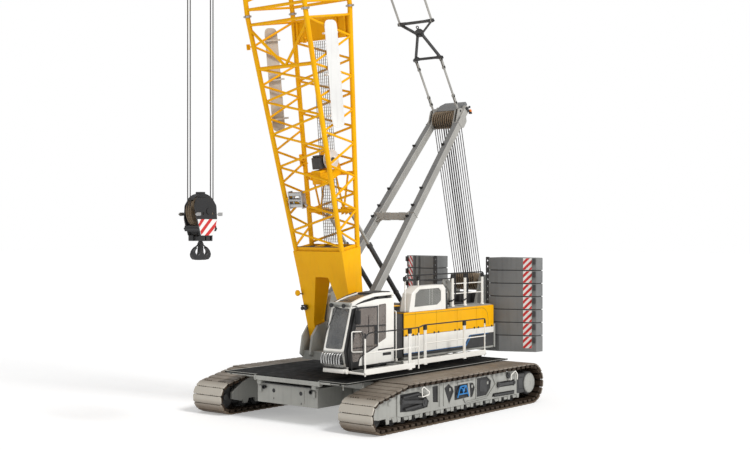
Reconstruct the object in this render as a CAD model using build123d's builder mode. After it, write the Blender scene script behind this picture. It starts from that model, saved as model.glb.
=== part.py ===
from build123d import *
from math import asin, atan2, cos, hypot, pi, radians, sin, sqrt
import os

# Crawler crane, millimetres. +X towards the boom, +Y to the cab side, +Z up.
# The origin is on the ground under the slewing axis.
os.makedirs("parts", exist_ok=True)

# Clearances
seat_gap = 0.3
slab_gap = 0.5
pin_play = 0.6

# Tracks
gauge = 5824
shoe_width = 1200
front_wheel_x = 3930
front_loop_radius = 505
rear_wheel_x = -3787
rear_loop_radius = 645
slope_start_x = 2720
shoe_count = 71
shoe_groove = 38
shoe_gap = 34
belt_depth = 140

# Track side frames
frame_outer_half = 390
frame_plate = 60
frame_low = 330
frame_low_tooth = 250
frame_top = 1020
frame_front_x = 3320
frame_rear_x = -3180
roller_count = 13
roller_first_x = -3000
roller_last_x = 3150
roller_radius = 165
roller_axle_radius = 48
roller_side_gap = 60
carrier_half_width = 180
carrier_radius = 62
carrier_xs = (-2300, 0, 2200)
drive_case_radius = 330
drive_cover_radius = 290

# Carbody
deck_low = 1300
deck_top = 1335
deck_half_width = 2400
deck_front_lip = 170
deck_rear_lip = 40
girder_x = 1750
girder_length = 700
girder_low = 500
girder_top = 1120
spine_half_width = 900
spine_half_length = 2900
spine_low = 600
spine_top = 1200
rib_half = 40
tub_half_length = 1450
tub_half_width = 1250
tie_down_radius = 35
tie_down_boss = 85
tie_down_depth = 40
tie_down_edge = 100
tie_down_side_edge = 250
ballast_length = 1080
ballast_half_width = 1180
ballast_low = 520
ballast_high = 1080
ballast_hole_y = 534
ballast_hole_z = 889
ballast_hole_radius = 62
ballast_end_x = spine_half_length + ballast_length
deck_front_x = ballast_end_x + deck_front_lip
deck_rear_x = -ballast_end_x - deck_rear_lip

# Slewing ring
ring_outer = 1250
ring_inner = 950
ring_split = 1455
ring_play = 0.5
platform_low = 1620

# Upper structure
plate = 60
web_y = 560
web_thickness = 80
bracket_y = 960
bracket_thickness = 60
side_deck_y = 1500
platform_rear_x = -4740
rear_plate_thickness = 90
rear_plate_top = 2400
boom_pin_x = 1750
boom_pin_z = 2250
boom_pin_radius = 73
mast_pin_x = 1200
mast_pin_z = 3410
mast_pin_radius = 60
stop_pin_x = -900
stop_pin_z = 3200
stop_pin_radius = 40
falls_axis_x = -5260
falls_axis_z = 3760
falls_axis_radius = 60
winch_shaft_radius = 70
luffing_winch_x = -3300
luffing_winch_z = 2480
hoist_winch_x = -2000
hoist_winch_z = 2480
drum_radius = 270
drum_flange_radius = 400

# House covers
house_front_x = 395
house_rear_x = -4550
house_low = 1800
house_step_z = 2120
house_step_x = -3000
house_top = 3040
house_inner_y = 660
house_wall = 30
house_split_z = 2322
house_seam_xs = (-190, -1285, -2420, -3520)
seam_width = 10
seam_depth = 8
grille_front_x = 430
grille_rear_x = -1790
grille_top = 3830
grille_inner_y = 1030

# Counterweight
cw_low = 1465
cw_base_height = 530
cw_slab_height = 437.5
cw_slab_count = 6
cw_inner_y = 1170
cw_front_x = -4750
cw_corner_y = 1580
cw_outer_x = -5260
cw_outer_y = 2720
cw_back_x = -5630
cw_lug_inner_y = 985
cw_lug_length = 140
cw_lug_half_height = 70

# Cab
cab_inner_y = 1040
cab_outer_y = 1900
cab_wall = 50
cab_low = 1660
door_gap = 5
door_thickness = 40

# Catwalks and rails
walk_low = 1540
walk_top = 1600
beam_low = 1460
walk_rear_x = -3000
walk_joint_x = 1300
walk_front_x = 3950
walk_right_front_x = 2600
walk_cab_y = 1950
walk_side_y = 2200
walk_outer_y = 2850
walk_beam_half = 50
walk_beam_root_y = 1260
rail_edge = 30
rail_height = 1100
rail_half = 20

# Mast
mast_leg_depth = 250
mast_leg_width = 220
mast_foot_y = 820
mast_head_y = 550
mast_head_x = -3950
mast_head_z = 9290
mast_shaft_radius = 60
mast_pack_half = 410
pack_rim_radius = 300
pack_groove_radius = 250
pack_groove_top = 36
pack_groove_low = 18
fall_pitch = 90
fall_ys = [fall_pitch * number for number in range(-4, 5)]
cross_beam_share = 0.44
hood_thickness = 25
pendant_pin_x = -3900
pendant_pin_z = 9560
pendant_y = 510
pendant_pin_radius = 32

# Boom, along u from the foot pin, with v forward and y across
boom_angle = 79.9
chord_radius = 75
lace_radius = 38
box_low_u = 2000
box_high_u = 2800
butt_end_u = 9870
butt_lace_low_u = 2930
butt_lace_high_u = 8330
butt_side_node_u = 9000
butt_top_frame_u = 9620
mid_lace_low_u = 10300
mid_lace_high_u = 15200
head_lace_high_u = 24100
frame_bar_radius = 48
end_block_size = 176
end_block_length = 160
mid_end_u = 15700
head_taper_u = 19500
head_end_u = 24400
foot_half_y = 817.5
foot_rate_y = 0.0326
front_v0 = 135
front_rate = 0.0866
rear_v0 = -95
rear_rate = -0.0892
head_front_v = 620
head_rear_v = -200
head_half_y = 600
sheave_u = 25200
sheave_v = 1210
head_shaft_radius = 65
stop_lug_u = 3880
rear_beam_u = 5000
rear_beam_size = 130
pendant_beam_size = 140
stop_eye_back = 240
pendant_lug_back = 2800
pendant_lug_u = head_end_u - pendant_lug_back
pendant_lug_v = -860

# Hoist rope and hook
rope_radius = 14
fall_radius = 470
fall_y = 50
hook_sheave_z = 6080
rope_split_z = 15500
hook_low_z = 4780


def keep(piece, name):
    piece.part.label = name
    export_step(piece.part, f"parts/{name}.step")


def strut(start, end, radius, sides=6):
    axis = Vector(*end) - Vector(*start)
    with BuildPart() as piece:
        with BuildSketch(Plane(origin=start, z_dir=axis)):
            RegularPolygon(radius, sides)
        extrude(amount=axis.length)
    return piece.part


def beam(start, end, width, depth, across=(0, 1, 0)):
    axis = Vector(*end) - Vector(*start)
    with BuildPart() as piece:
        with BuildSketch(Plane(origin=start, x_dir=across, z_dir=axis)):
            Rectangle(width, depth)
        extrude(amount=axis.length)
    return piece.part


def side_plate(outline, y_low, y_high):
    with BuildPart() as piece:
        with BuildSketch(Plane.XZ.offset(-y_high)):
            Polygon(*outline, align=None)
        extrude(amount=y_high - y_low)
    return piece.part


def plan_plate(outline, z_low, z_high):
    with BuildPart() as piece:
        with BuildSketch(Plane.XY.offset(z_low)):
            Polygon(*outline, align=None)
        extrude(amount=z_high - z_low)
    return piece.part


def block(x_low, x_high, y_low, y_high, z_low, z_high):
    with BuildPart() as piece:
        with BuildSketch(Plane.XY.offset(z_low)):
            with Locations(((x_low + x_high) / 2, (y_low + y_high) / 2)):
                Rectangle(x_high - x_low, y_high - y_low)
        extrude(amount=z_high - z_low)
    return piece.part


def cross_cylinder(x, z, radius, y_low, y_high):
    with BuildPart() as piece:
        with BuildSketch(Plane.XZ.offset(-y_high)):
            with Locations((x, z)):
                Circle(radius)
        extrude(amount=y_high - y_low)
    return piece.part


def turned(x, z, profile):
    """A solid of revolution about an axle across the machine, from (y, radius) points."""
    with BuildPart() as piece:
        with BuildSketch(Plane(origin=(x, 0, z), x_dir=(0, 1, 0), z_dir=(1, 0, 0))):
            Polygon(*profile, align=None)
        revolve(axis=Axis((x, 0, z), (0, 1, 0)))
    return piece.part


def mirrored(part):
    return mirror(part, about=Plane.XZ)


def both_sides(parts):
    return list(parts) + [mirrored(part) for part in parts]


def joined(parts, cuts=()):
    with BuildPart() as piece:
        add(parts)
        if cuts:
            add(cuts, mode=Mode.SUBTRACT)
    return piece


# Tracks: one closed loop each, with flat shoes and a groove between neighbours
slope_dx = front_wheel_x - slope_start_x
slope_dz = front_loop_radius - 2 * rear_loop_radius
slope_reach = hypot(slope_dx, slope_dz)
slope_angle = atan2(slope_dz, slope_dx) + asin(front_loop_radius / slope_reach)
slope_length = sqrt(slope_reach**2 - front_loop_radius**2)
front_turn = pi + slope_angle
bottom_length = front_wheel_x - rear_wheel_x
rear_turn_length = pi * rear_loop_radius
top_length = slope_start_x - rear_wheel_x
loop_length = bottom_length + front_turn * front_loop_radius + slope_length + top_length + rear_turn_length


def loop_point(distance, depth):
    """A point of the loop, `depth` inside its ground face, `distance` from the rear bottom tangent."""
    distance = distance % loop_length
    if distance <= bottom_length:
        return rear_wheel_x + distance, depth
    distance -= bottom_length
    if distance <= front_turn * front_loop_radius:
        turn = distance / front_loop_radius
        radius = front_loop_radius - depth
        return front_wheel_x + radius * sin(turn), front_loop_radius - radius * cos(turn)
    distance -= front_turn * front_loop_radius
    if distance <= slope_length:
        start_x = slope_start_x + slope_length * cos(slope_angle)
        start_z = 2 * rear_loop_radius + slope_length * sin(slope_angle)
        x = start_x - distance * cos(slope_angle) + depth * sin(slope_angle)
        return x, start_z - distance * sin(slope_angle) - depth * cos(slope_angle)
    distance -= slope_length
    if distance <= top_length:
        return slope_start_x - distance, 2 * rear_loop_radius - depth
    turn = (distance - top_length) / rear_loop_radius
    radius = rear_loop_radius - depth
    return rear_wheel_x - radius * sin(turn), rear_loop_radius + radius * cos(turn)


shoe_pitch = loop_length / shoe_count
ground_outline = []
inner_outline = []
for shoe in range(shoe_count):
    first = shoe * shoe_pitch + shoe_gap / 2
    last = (shoe + 1) * shoe_pitch - shoe_gap / 2
    ground_outline += [loop_point(first, 0), loop_point(last, 0)]
    ground_outline += [loop_point(last, shoe_groove), loop_point(last + shoe_gap, shoe_groove)]
    inner_outline += [loop_point(first, belt_depth)]

track_y_low = (gauge - shoe_width) / 2
track_y_high = (gauge + shoe_width) / 2
with BuildPart() as track_left:
    with BuildSketch(Plane.XZ.offset(-track_y_high)):
        Polygon(*ground_outline, align=None)
        Polygon(*inner_outline, align=None, mode=Mode.SUBTRACT)
    extrude(amount=shoe_width)
keep(track_left, "track_left")
track_right = joined([mirrored(track_left.part)])
keep(track_right, "track_right")

# Track side frames: two toothed side plates round a box, with the idler fork and the drive case
frame_mid_y = gauge / 2
roller_pitch = (roller_last_x - roller_first_x) / (roller_count - 1)
roller_z = belt_depth + roller_radius + seat_gap
roller_xs = [roller_first_x + roller_pitch * number for number in range(roller_count)]
toothed_outline = [(frame_rear_x, frame_top), (frame_rear_x, frame_low)]
for x in roller_xs:
    tooth = roller_pitch * 0.26
    toothed_outline += [(x - tooth, frame_low + 60), (x - tooth * 0.6, frame_low_tooth)]
    toothed_outline += [(x + tooth * 0.6, frame_low_tooth), (x + tooth, frame_low + 60)]
toothed_outline += [(frame_front_x, frame_low), (frame_front_x + 420, 430), (frame_front_x + 420, 640)]
toothed_outline += [(frame_front_x, 900), (frame_front_x - 300, frame_top)]
frame_y_low = frame_mid_y - frame_outer_half
frame_y_high = frame_mid_y + frame_outer_half
front_wheel_radius = (front_loop_radius - belt_depth) * cos(shoe_pitch / 2 / front_loop_radius) - seat_gap
rear_wheel_radius = (rear_loop_radius - belt_depth) * cos(shoe_pitch / 2 / rear_loop_radius) - seat_gap
frame_parts = [
    side_plate(toothed_outline, frame_y_low, frame_y_low + frame_plate),
    side_plate(toothed_outline, frame_y_high - frame_plate, frame_y_high),
    block(frame_rear_x, frame_front_x - 320, frame_y_low, frame_y_high, 560, frame_top - 20),
    cross_cylinder(rear_wheel_x, rear_loop_radius, 130, frame_y_low, frame_y_high),
    side_plate(
        [(frame_rear_x + 10, 360), (frame_rear_x + 10, 960), (rear_wheel_x, 860), (rear_wheel_x, 430)],
        frame_y_low,
        frame_y_low + frame_plate,
    ),
    side_plate(
        [(frame_rear_x + 10, 360), (frame_rear_x + 10, 960), (rear_wheel_x, 860), (rear_wheel_x, 430)],
        frame_y_high - frame_plate,
        frame_y_high,
    ),
]
track_frame_left = joined(frame_parts)
keep(track_frame_left, "track_frame_left")
track_frame_right = joined([mirrored(track_frame_left.part)])
keep(track_frame_right, "track_frame_right")


def wheel(x, z, rings):
    """A wheel turned about an axle across the machine, from rings of (radius, y_low, y_high)."""
    return joined([cross_cylinder(x, z, radius, low, high) for radius, low, high in rings]).part


axle_low = frame_y_low + frame_plate + seat_gap
axle_high = frame_y_high - frame_plate - seat_gap
roller_rings = [
    (roller_axle_radius, axle_low, axle_high),
    (roller_radius, axle_low + roller_side_gap, axle_high - roller_side_gap),
]
bottom_rollers = [wheel(x, roller_z, roller_rings) for x in roller_xs]
carrier_z = frame_top - 20 + seat_gap + carrier_radius
carriers = [
    wheel(x, carrier_z, [(carrier_radius, frame_mid_y - carrier_half_width, frame_mid_y + carrier_half_width)])
    for x in carrier_xs
]
idler = wheel(
    front_wheel_x,
    front_loop_radius,
    [(90, axle_low, axle_high), (front_wheel_radius, axle_low + 80, axle_high - 80)],
)
track_rollers_left = joined(bottom_rollers + carriers + [idler])
keep(track_rollers_left, "track_rollers_left")
track_rollers_right = joined([mirrored(track_rollers_left.part)])
keep(track_rollers_right, "track_rollers_right")

# Final drives: a sprocket drum behind the frame's rear end, with a stepped cover outside
drive_rings = [
    (rear_wheel_radius, frame_mid_y - 150, frame_mid_y + 150),
    (drive_case_radius, axle_low, axle_high),
    (drive_case_radius, frame_y_high + seat_gap, frame_y_high + 120),
    (drive_cover_radius, frame_y_high + 120, frame_y_high + 160),
]
final_drive_left = joined(
    [cross_cylinder(rear_wheel_x, rear_loop_radius, radius, low, high) for radius, low, high in drive_rings],
    [cross_cylinder(rear_wheel_x, rear_loop_radius, 130 + seat_gap, axle_low - 10, axle_high + 10)],
)
keep(final_drive_left, "final_drive_left")
final_drive_right = joined([mirrored(final_drive_left.part)])
keep(final_drive_right, "final_drive_right")

# Carbody: a tub under the ring, a spine to the ballast and two girders to the side frames
girder_reach = frame_y_low - seat_gap
carbody_parts = [
    block(-tub_half_length, tub_half_length, -tub_half_width, tub_half_width, girder_low, deck_low),
    block(
        -spine_half_length,
        spine_half_length,
        -spine_half_width,
        spine_half_width,
        spine_low,
        spine_top,
    ),
]
for end in (1, -1):
    carbody_parts.append(
        block(
            end * girder_x - girder_length / 2,
            end * girder_x + girder_length / 2,
            -girder_reach,
            girder_reach,
            girder_low,
            girder_top,
        )
    )
deck_rib_reach = deck_half_width - 110
end_rib_x = spine_half_length + 400
for x in (-end_rib_x, -girder_x, girder_x, end_rib_x):
    carbody_parts.append(
        block(x - rib_half, x + rib_half, -deck_rib_reach, deck_rib_reach, girder_top - 20, deck_low)
    )
post_x = spine_half_length - 300
for x in (-post_x, post_x):
    carbody_parts.append(
        block(x - 60, x + 60, -spine_half_width, spine_half_width, spine_top - 20, deck_low)
    )
long_rib_y = spine_half_width - 100
long_rib_reach = end_rib_x + 100
for y in (-long_rib_y, long_rib_y):
    carbody_parts.append(
        block(-long_rib_reach, long_rib_reach, y - rib_half, y + rib_half, spine_top - 60, deck_low)
    )
carbody = joined(carbody_parts)
keep(carbody, "carbody")

deck = joined(
    [
        block(deck_rear_x, deck_front_x, -deck_half_width, deck_half_width, deck_low, deck_top),
        block(ballast_end_x - 40, ballast_end_x, -ballast_half_width, ballast_half_width, 1200, deck_low + 5),
    ]
)
tie_down_y = deck_half_width - tie_down_side_edge
tie_down_xs = (deck_front_x - tie_down_edge, deck_rear_x + tie_down_edge)
tie_down_points = [(x, y) for x in tie_down_xs for y in (tie_down_y, -tie_down_y)]
with BuildPart() as deck_plate:
    add(deck.part)
    with BuildSketch(Plane.XY.offset(deck_low - 10)):
        Circle(ring_outer + 20)
    extrude(amount=deck_top - deck_low + 20, mode=Mode.SUBTRACT)
    with BuildSketch(Plane.XY.offset(deck_low - tie_down_depth)):
        with Locations(*tie_down_points):
            Circle(tie_down_boss)
    extrude(amount=tie_down_depth)
    with BuildSketch(Plane.XY.offset(deck_low - tie_down_depth - 10)):
        with Locations(*tie_down_points):
            Circle(tie_down_radius)
    extrude(amount=deck_top - deck_low + tie_down_depth + 20, mode=Mode.SUBTRACT)
keep(deck_plate, "deck_plate")

def round_recess(x, y, z, radius, depth=90):
    """A round hole along the machine, centred on an end face at x."""
    with BuildPart() as piece:
        with BuildSketch(Plane.YZ.offset(x - depth)):
            with Locations((y, z)):
                Circle(radius)
        extrude(amount=2 * depth)
    return piece.part


ballast_blocks = []
for end in (1, -1):
    near_x = end * (spine_half_length + seat_gap)
    far_x = end * ballast_end_x
    low_x = min(near_x, far_x)
    high_x = max(near_x, far_x)
    ballast_blocks.append(
        block(low_x, high_x, -ballast_half_width, ballast_half_width, ballast_low, ballast_high)
    )
    for lug_side in (1, -1):
        lug_x = end * (ballast_end_x + 25)
        ballast_blocks.append(
            block(lug_x - 25, lug_x + 25, lug_side * 1050 - 60, lug_side * 1050 + 60, 820, 1000)
        )
ballast_holes = [
    round_recess(end * ballast_end_x, side * ballast_hole_y, ballast_hole_z, ballast_hole_radius)
    for end in (1, -1)
    for side in (1, -1)
]
central_ballast = joined(ballast_blocks, ballast_holes)
keep(central_ballast, "central_ballast")

with BuildPart() as slewing_ring:
    with BuildSketch(Plane.XY.offset(deck_low)):
        Circle(ring_outer)
        Circle(ring_inner, mode=Mode.SUBTRACT)
    extrude(amount=ring_split - deck_low)
keep(slewing_ring, "slewing_ring")

# Platform: floor, two long webs that carry every pin of the upper structure, and outer foot brackets
web_outline = [
    (platform_rear_x, platform_low),
    (2100, platform_low),
    (2350, 1800),
    (2250, 2350),
    (2000, 2650),
    (1550, 2750),
    (1420, 3550),
    (1300, 3660),
    (1050, 3660),
    (900, 3400),
    (750, 2600),
    (-500, 2500),
    (-640, 3330),
    (-1160, 3330),
    (-1350, 2500),
    (-4550, 2500),
    (-4980, 3700),
    (-5080, 4000),
    (-5430, 4000),
    (-5530, 3700),
    (-5500, cw_low + cw_base_height + seat_gap),
    (platform_rear_x, cw_low + cw_base_height + seat_gap),
]
foot_outline = [
    (420, platform_low),
    (2100, platform_low),
    (2350, 1800),
    (2250, 2350),
    (2000, 2650),
    (1550, 2750),
    (1420, 3550),
    (1300, 3660),
    (1050, 3660),
    (800, 3300),
    (450, 2200),
]
platform_parts = [
    block(platform_rear_x, 2100, -bracket_y - plate, bracket_y + plate, platform_low, platform_low + plate),
    block(
        house_rear_x + 50,
        house_front_x + 5,
        -side_deck_y,
        side_deck_y,
        platform_low,
        platform_low + plate,
    ),
    block(1960, 2240, -bracket_y - 20, bracket_y + 20, platform_low + 20, 1900),
    block(
        house_rear_x - rear_plate_thickness,
        house_rear_x - seat_gap,
        -side_deck_y,
        side_deck_y,
        platform_low,
        rear_plate_top,
    ),
    cross_cylinder(stop_pin_x, stop_pin_z, stop_pin_radius, -web_y, web_y),
    cross_cylinder(falls_axis_x, falls_axis_z, falls_axis_radius, -web_y, web_y),
    cross_cylinder(luffing_winch_x, luffing_winch_z, winch_shaft_radius, -web_y, web_y),
    cross_cylinder(hoist_winch_x, hoist_winch_z, winch_shaft_radius, -web_y, web_y),
]
web = side_plate(web_outline, web_y, web_y + web_thickness)
foot_bracket = side_plate(foot_outline, bracket_y, bracket_y + bracket_thickness)
platform_parts += both_sides(
    [
        web,
        foot_bracket,
        cross_cylinder(boom_pin_x, boom_pin_z, boom_pin_radius, web_y, bracket_y + bracket_thickness + 15),
        cross_cylinder(mast_pin_x, mast_pin_z, mast_pin_radius, web_y, bracket_y + bracket_thickness + 15),
        block(560, 640, web_y, bracket_y + 20, platform_low + 20, 2300),
    ]
)
with BuildPart() as platform:
    add(platform_parts)
    with BuildSketch(Plane.XY.offset(ring_split + ring_play)):
        Circle(ring_outer - 40)
        Circle(ring_inner, mode=Mode.SUBTRACT)
    extrude(amount=platform_low - ring_split - ring_play + 10)
keep(platform, "platform")


# Winch drums
def drum(x, z):
    half = web_y - 10
    return joined(
        [
            cross_cylinder(x, z, drum_radius, -half, half),
            cross_cylinder(x, z, drum_flange_radius, -half, -half + 40),
            cross_cylinder(x, z, drum_flange_radius, half - 40, half),
        ],
        [cross_cylinder(x, z, winch_shaft_radius + pin_play, -half - 10, half + 10)],
    )


luffing_drum = drum(luffing_winch_x, luffing_winch_z)
keep(luffing_drum, "luffing_drum")
hoist_drum = drum(hoist_winch_x, hoist_winch_z)
keep(hoist_drum, "hoist_drum")

# House covers, open below, one along each side
house_outline = [
    (house_front_x, house_low),
    (house_front_x, house_top),
    (house_rear_x, house_top),
    (house_rear_x, house_step_z),
    (house_step_x, house_step_z),
    (house_step_x + 500, house_low),
]
house_hollow = block(
    house_rear_x + house_wall,
    house_front_x - house_wall,
    house_inner_y + house_wall,
    side_deck_y - house_wall,
    platform_low,
    house_top - house_wall,
)
house_sill = [
    block(
        house_rear_x + 70,
        house_front_x - 15,
        side_deck_y - 40,
        side_deck_y,
        platform_low + plate,
        house_low + 20,
    ),
]
house_seams = [
    block(
        x,
        x + seam_width,
        side_deck_y - seam_depth,
        side_deck_y + seam_depth,
        house_low - 10,
        house_top + 10,
    )
    for x in house_seam_xs
]
house_seams.append(
    block(
        house_rear_x - 10,
        house_front_x + 10,
        side_deck_y - seam_depth,
        side_deck_y + seam_depth,
        house_split_z,
        house_split_z + seam_width,
    )
)
house_left = joined(
    [side_plate(house_outline, house_inner_y, side_deck_y)] + house_sill, [house_hollow] + house_seams
)
keep(house_left, "house_left")
house_right = joined([mirrored(house_left.part)])
keep(house_right, "house_right")

engine_block = joined([block(-2900, -900, 780, 1380, platform_low + plate, 2750)])
keep(engine_block, "engine_block")

grille_outline = [
    (grille_front_x, house_top + seat_gap),
    (grille_front_x, grille_top - 60),
    (grille_front_x - 60, grille_top),
    (grille_rear_x + 340, grille_top),
    (grille_rear_x, grille_top - 280),
    (grille_rear_x, house_top + seat_gap),
]
grille_slot_count = 14
grille_slot_pitch = 120
grille_slot_width = 70
grille_slots = []
for number in range(grille_slot_count):
    slot_x = grille_rear_x + 310 + number * grille_slot_pitch
    grille_slots.append(
        block(
            slot_x,
            slot_x + grille_slot_width,
            side_deck_y - 100,
            side_deck_y + 50,
            grille_top - 600,
            grille_top - 170,
        )
    )
grille_hollow = block(
    grille_rear_x + 40,
    grille_front_x - 40,
    grille_inner_y + house_wall,
    side_deck_y - house_wall,
    house_top - 40,
    grille_top - 350,
)
grille_housing = joined(
    [side_plate(grille_outline, grille_inner_y, side_deck_y)],
    [grille_hollow] + grille_slots,
)
keep(grille_housing, "grille_housing")

intake_low_y = 1060
intake_high_y = side_deck_y - 60
intake_outline = [
    (400, platform_low + plate),
    (850, platform_low + plate),
    (850, 2880),
    (760, 3000),
    (400, 3000),
]
air_intake = joined(
    [
        side_plate(intake_outline, intake_low_y, intake_high_y),
        block(300, 420, intake_low_y, intake_high_y, platform_low + plate + 10, platform_low + plate + 110),
    ]
)
keep(air_intake, "air_intake")

# Catwalks: gratings on beams, with posts and rails
walk_left_parts = [
    block(walk_joint_x, walk_front_x, walk_cab_y, walk_outer_y, walk_low, walk_top),
    block(walk_rear_x, walk_joint_x + 20, side_deck_y + seat_gap, walk_side_y, walk_low, walk_top),
    block(-300, walk_front_x - 50, 1260, 1360, beam_low, platform_low - seat_gap),
    block(walk_joint_x, walk_front_x - 50, 1700, 1820, beam_low, platform_low - seat_gap),
    block(walk_rear_x + 100, -200, 1260, 1360, walk_low, platform_low - seat_gap),
]
cross_beams_left = [(x, walk_outer_y - 10) for x in (1400, 2600, 3850)]
cross_beams_left += [(x, walk_side_y - 10) for x in (-2900, -1500, -200)]
for x, reach in cross_beams_left:
    walk_left_parts.append(
        block(x - walk_beam_half, x + walk_beam_half, walk_beam_root_y, reach, beam_low, walk_low + 20)
    )
for x in (1600, 3400):
    for y in (1310, 1760):
        walk_left_parts.append(block(x - 60, x + 60, y - 60, y + 60, walk_low, cab_low - seat_gap))
catwalk_left = joined(walk_left_parts)
keep(catwalk_left, "catwalk_left")
walk_right_parts = [
    block(walk_rear_x, walk_right_front_x, -walk_side_y, -side_deck_y - seat_gap, walk_low, walk_top),
    block(walk_rear_x + 100, walk_right_front_x, -1360, -1260, walk_low, platform_low - seat_gap),
]
for x in (-2900, -1500, -200, 1200, 2500):
    walk_right_parts.append(
        block(
            x - walk_beam_half,
            x + walk_beam_half,
            -walk_side_y + 10,
            -walk_beam_root_y,
            beam_low,
            walk_low + 20,
        )
    )
catwalk_right = joined(walk_right_parts)
keep(catwalk_right, "catwalk_right")


def railing(runs, base_z, top_z, mid_z):
    """Square posts and two rails along straight runs of (x, y) corner points."""
    parts = []
    for run in runs:
        for x, y in run:
            parts.append(block(x - rail_half, x + rail_half, y - rail_half, y + rail_half, base_z, top_z))
        for (x0, y0), (x1, y1) in zip(run, run[1:]):
            for z in (top_z, mid_z):
                low_x = min(x0, x1) - rail_half
                high_x = max(x0, x1) + rail_half
                low_y = min(y0, y1) - rail_half
                high_y = max(y0, y1) + rail_half
                parts.append(block(low_x, high_x, low_y, high_y, z - 2 * rail_half, z))
    return parts


rail_base = walk_top + seat_gap
rail_top = walk_top + rail_height
rail_mid = walk_top + rail_height / 2
outer_rail_y = walk_outer_y - rail_edge
side_rail_y = walk_side_y - rail_edge
rear_rail_x = walk_rear_x + 40
front_rail_x = walk_front_x - rail_edge
left_runs = [
    [(front_rail_x, 2000), (front_rail_x, outer_rail_y), (2600, outer_rail_y), (1900, outer_rail_y)],
    [(1100, side_rail_y), (0, side_rail_y), (-1400, side_rail_y), (rear_rail_x, side_rail_y)],
]
handrail_left = joined(railing(left_runs, rail_base, rail_top, rail_mid))
keep(handrail_left, "handrail_left")
right_run = [(walk_right_front_x - 40, -1600)]
right_run += [(x, -side_rail_y) for x in (walk_right_front_x - 40, 1300, 0, -1400, rear_rail_x)]
handrail_right = joined(railing([right_run], rail_base, rail_top, rail_mid))
keep(handrail_right, "handrail_right")
roof_rail_y = side_deck_y - 100
roof_rail_top = grille_top + 330
roof_rail_ends = (-4000, 100)
roof_post_rows = [
    (100, grille_top),
    (-1250, grille_top),
    (-2200, house_top),
    (-3100, house_top),
    (-4000, house_top),
]
roof_parts = [
    block(
        x - rail_half,
        x + rail_half,
        roof_rail_y - rail_half,
        roof_rail_y + rail_half,
        base + seat_gap,
        roof_rail_top,
    )
    for x, base in roof_post_rows
]
for z in (roof_rail_top, roof_rail_top - 160):
    roof_parts.append(
        block(
            roof_rail_ends[0] - rail_half,
            roof_rail_ends[1] + rail_half,
            roof_rail_y - rail_half,
            roof_rail_y + rail_half,
            z - 2 * rail_half,
            z,
        )
    )
roof_railing = joined(roof_parts)
keep(roof_railing, "roof_railing")

# Cab: floor, roof, side frames and end frames with their windows cut, and a door that slides back
cab_rear_x = 1400
cab_toe_x = 3600
cab_nose_x = 3720
cab_nose_z = 2160
cab_brow_x = 3340
cab_brow_z = 3400
cab_eave_x = 3200
cab_eave_z = 3520
cab_crown_x = 2400
cab_crown_z = 3660
cab_top_z = 3740
rear_window_edge = 120
rear_window_low = 2500
rear_window_high = 3450
cab_floor_top = cab_low + cab_wall
frame_base = cab_floor_top + seat_gap
inner_low_y = cab_inner_y + cab_wall
inner_high_y = cab_outer_y - cab_wall
cab_outline = [
    (cab_rear_x, frame_base),
    (cab_toe_x, frame_base),
    (cab_nose_x, cab_nose_z),
    (cab_brow_x, cab_brow_z),
    (cab_brow_x - 20, cab_brow_z),
    (cab_eave_x, cab_eave_z - cab_wall - seat_gap),
    (cab_crown_x, cab_crown_z - cab_wall - seat_gap),
    (cab_rear_x, cab_top_z - cab_wall - seat_gap),
]
roof_outline = [
    (cab_rear_x, cab_top_z - cab_wall),
    (cab_crown_x, cab_crown_z - cab_wall),
    (cab_eave_x, cab_eave_z - cab_wall),
    (cab_brow_x - 20, cab_brow_z + seat_gap),
    (cab_brow_x, cab_brow_z + seat_gap),
    (cab_eave_x, cab_eave_z),
    (cab_crown_x, cab_crown_z),
    (cab_rear_x, cab_top_z),
]
front_outline = [
    (cab_toe_x, frame_base),
    (cab_nose_x, cab_nose_z),
    (cab_brow_x, cab_brow_z),
    (cab_brow_x - cab_wall - 20, cab_brow_z),
    (cab_nose_x - cab_wall, cab_nose_z),
    (cab_toe_x - cab_wall, frame_base),
]
door_opening = [(2260, 1760), (3440, 1760), (3500, 2160), (3150, 3310), (2260, 3310)]
quarter_opening = [(1500, 2560), (2120, 2100), (2120, 3320), (1500, 3420)]
right_opening = [(1600, 2300), (3450, 2300), (3160, 3260), (1600, 3300)]
windscreen_cut = [(3500, 2240), (3900, 2240), (3500, 3330), (3150, 3330)]
footlight_cut = [(3480, 1760), (3900, 1760), (3900, 2080), (3480, 2080)]
cab_floor = joined([block(cab_rear_x, cab_toe_x, cab_inner_y, cab_outer_y, cab_low, cab_floor_top)])
keep(cab_floor, "cab_floor")
cab_roof = joined([side_plate(roof_outline, cab_inner_y, cab_outer_y)])
keep(cab_roof, "cab_roof")
cab_sides = joined(
    [side_plate(cab_outline, cab_inner_y, inner_low_y), side_plate(cab_outline, inner_high_y, cab_outer_y)],
    [
        side_plate(door_opening, inner_high_y - 10, cab_outer_y + 10),
        side_plate(quarter_opening, inner_high_y - 10, cab_outer_y + 10),
        side_plate(right_opening, cab_inner_y - 10, inner_low_y + 10),
    ],
)
keep(cab_sides, "cab_sides")
end_low_y = inner_low_y + seat_gap
end_high_y = inner_high_y - seat_gap
rear_top_z = cab_top_z - 1.08 * cab_wall - 4
cab_ends = joined(
    [
        side_plate(front_outline, end_low_y, end_high_y),
        block(cab_rear_x, cab_rear_x + cab_wall, end_low_y, end_high_y, frame_base, rear_top_z),
    ],
    [
        side_plate(windscreen_cut, cab_inner_y + 70, cab_outer_y - 70),
        side_plate(footlight_cut, cab_inner_y + 70, cab_outer_y - 70),
        block(
            cab_rear_x - 50,
            cab_rear_x + 100,
            cab_inner_y + rear_window_edge,
            cab_outer_y - rear_window_edge,
            rear_window_low,
            rear_window_high,
        ),
    ],
)
keep(cab_ends, "cab_ends")


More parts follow.
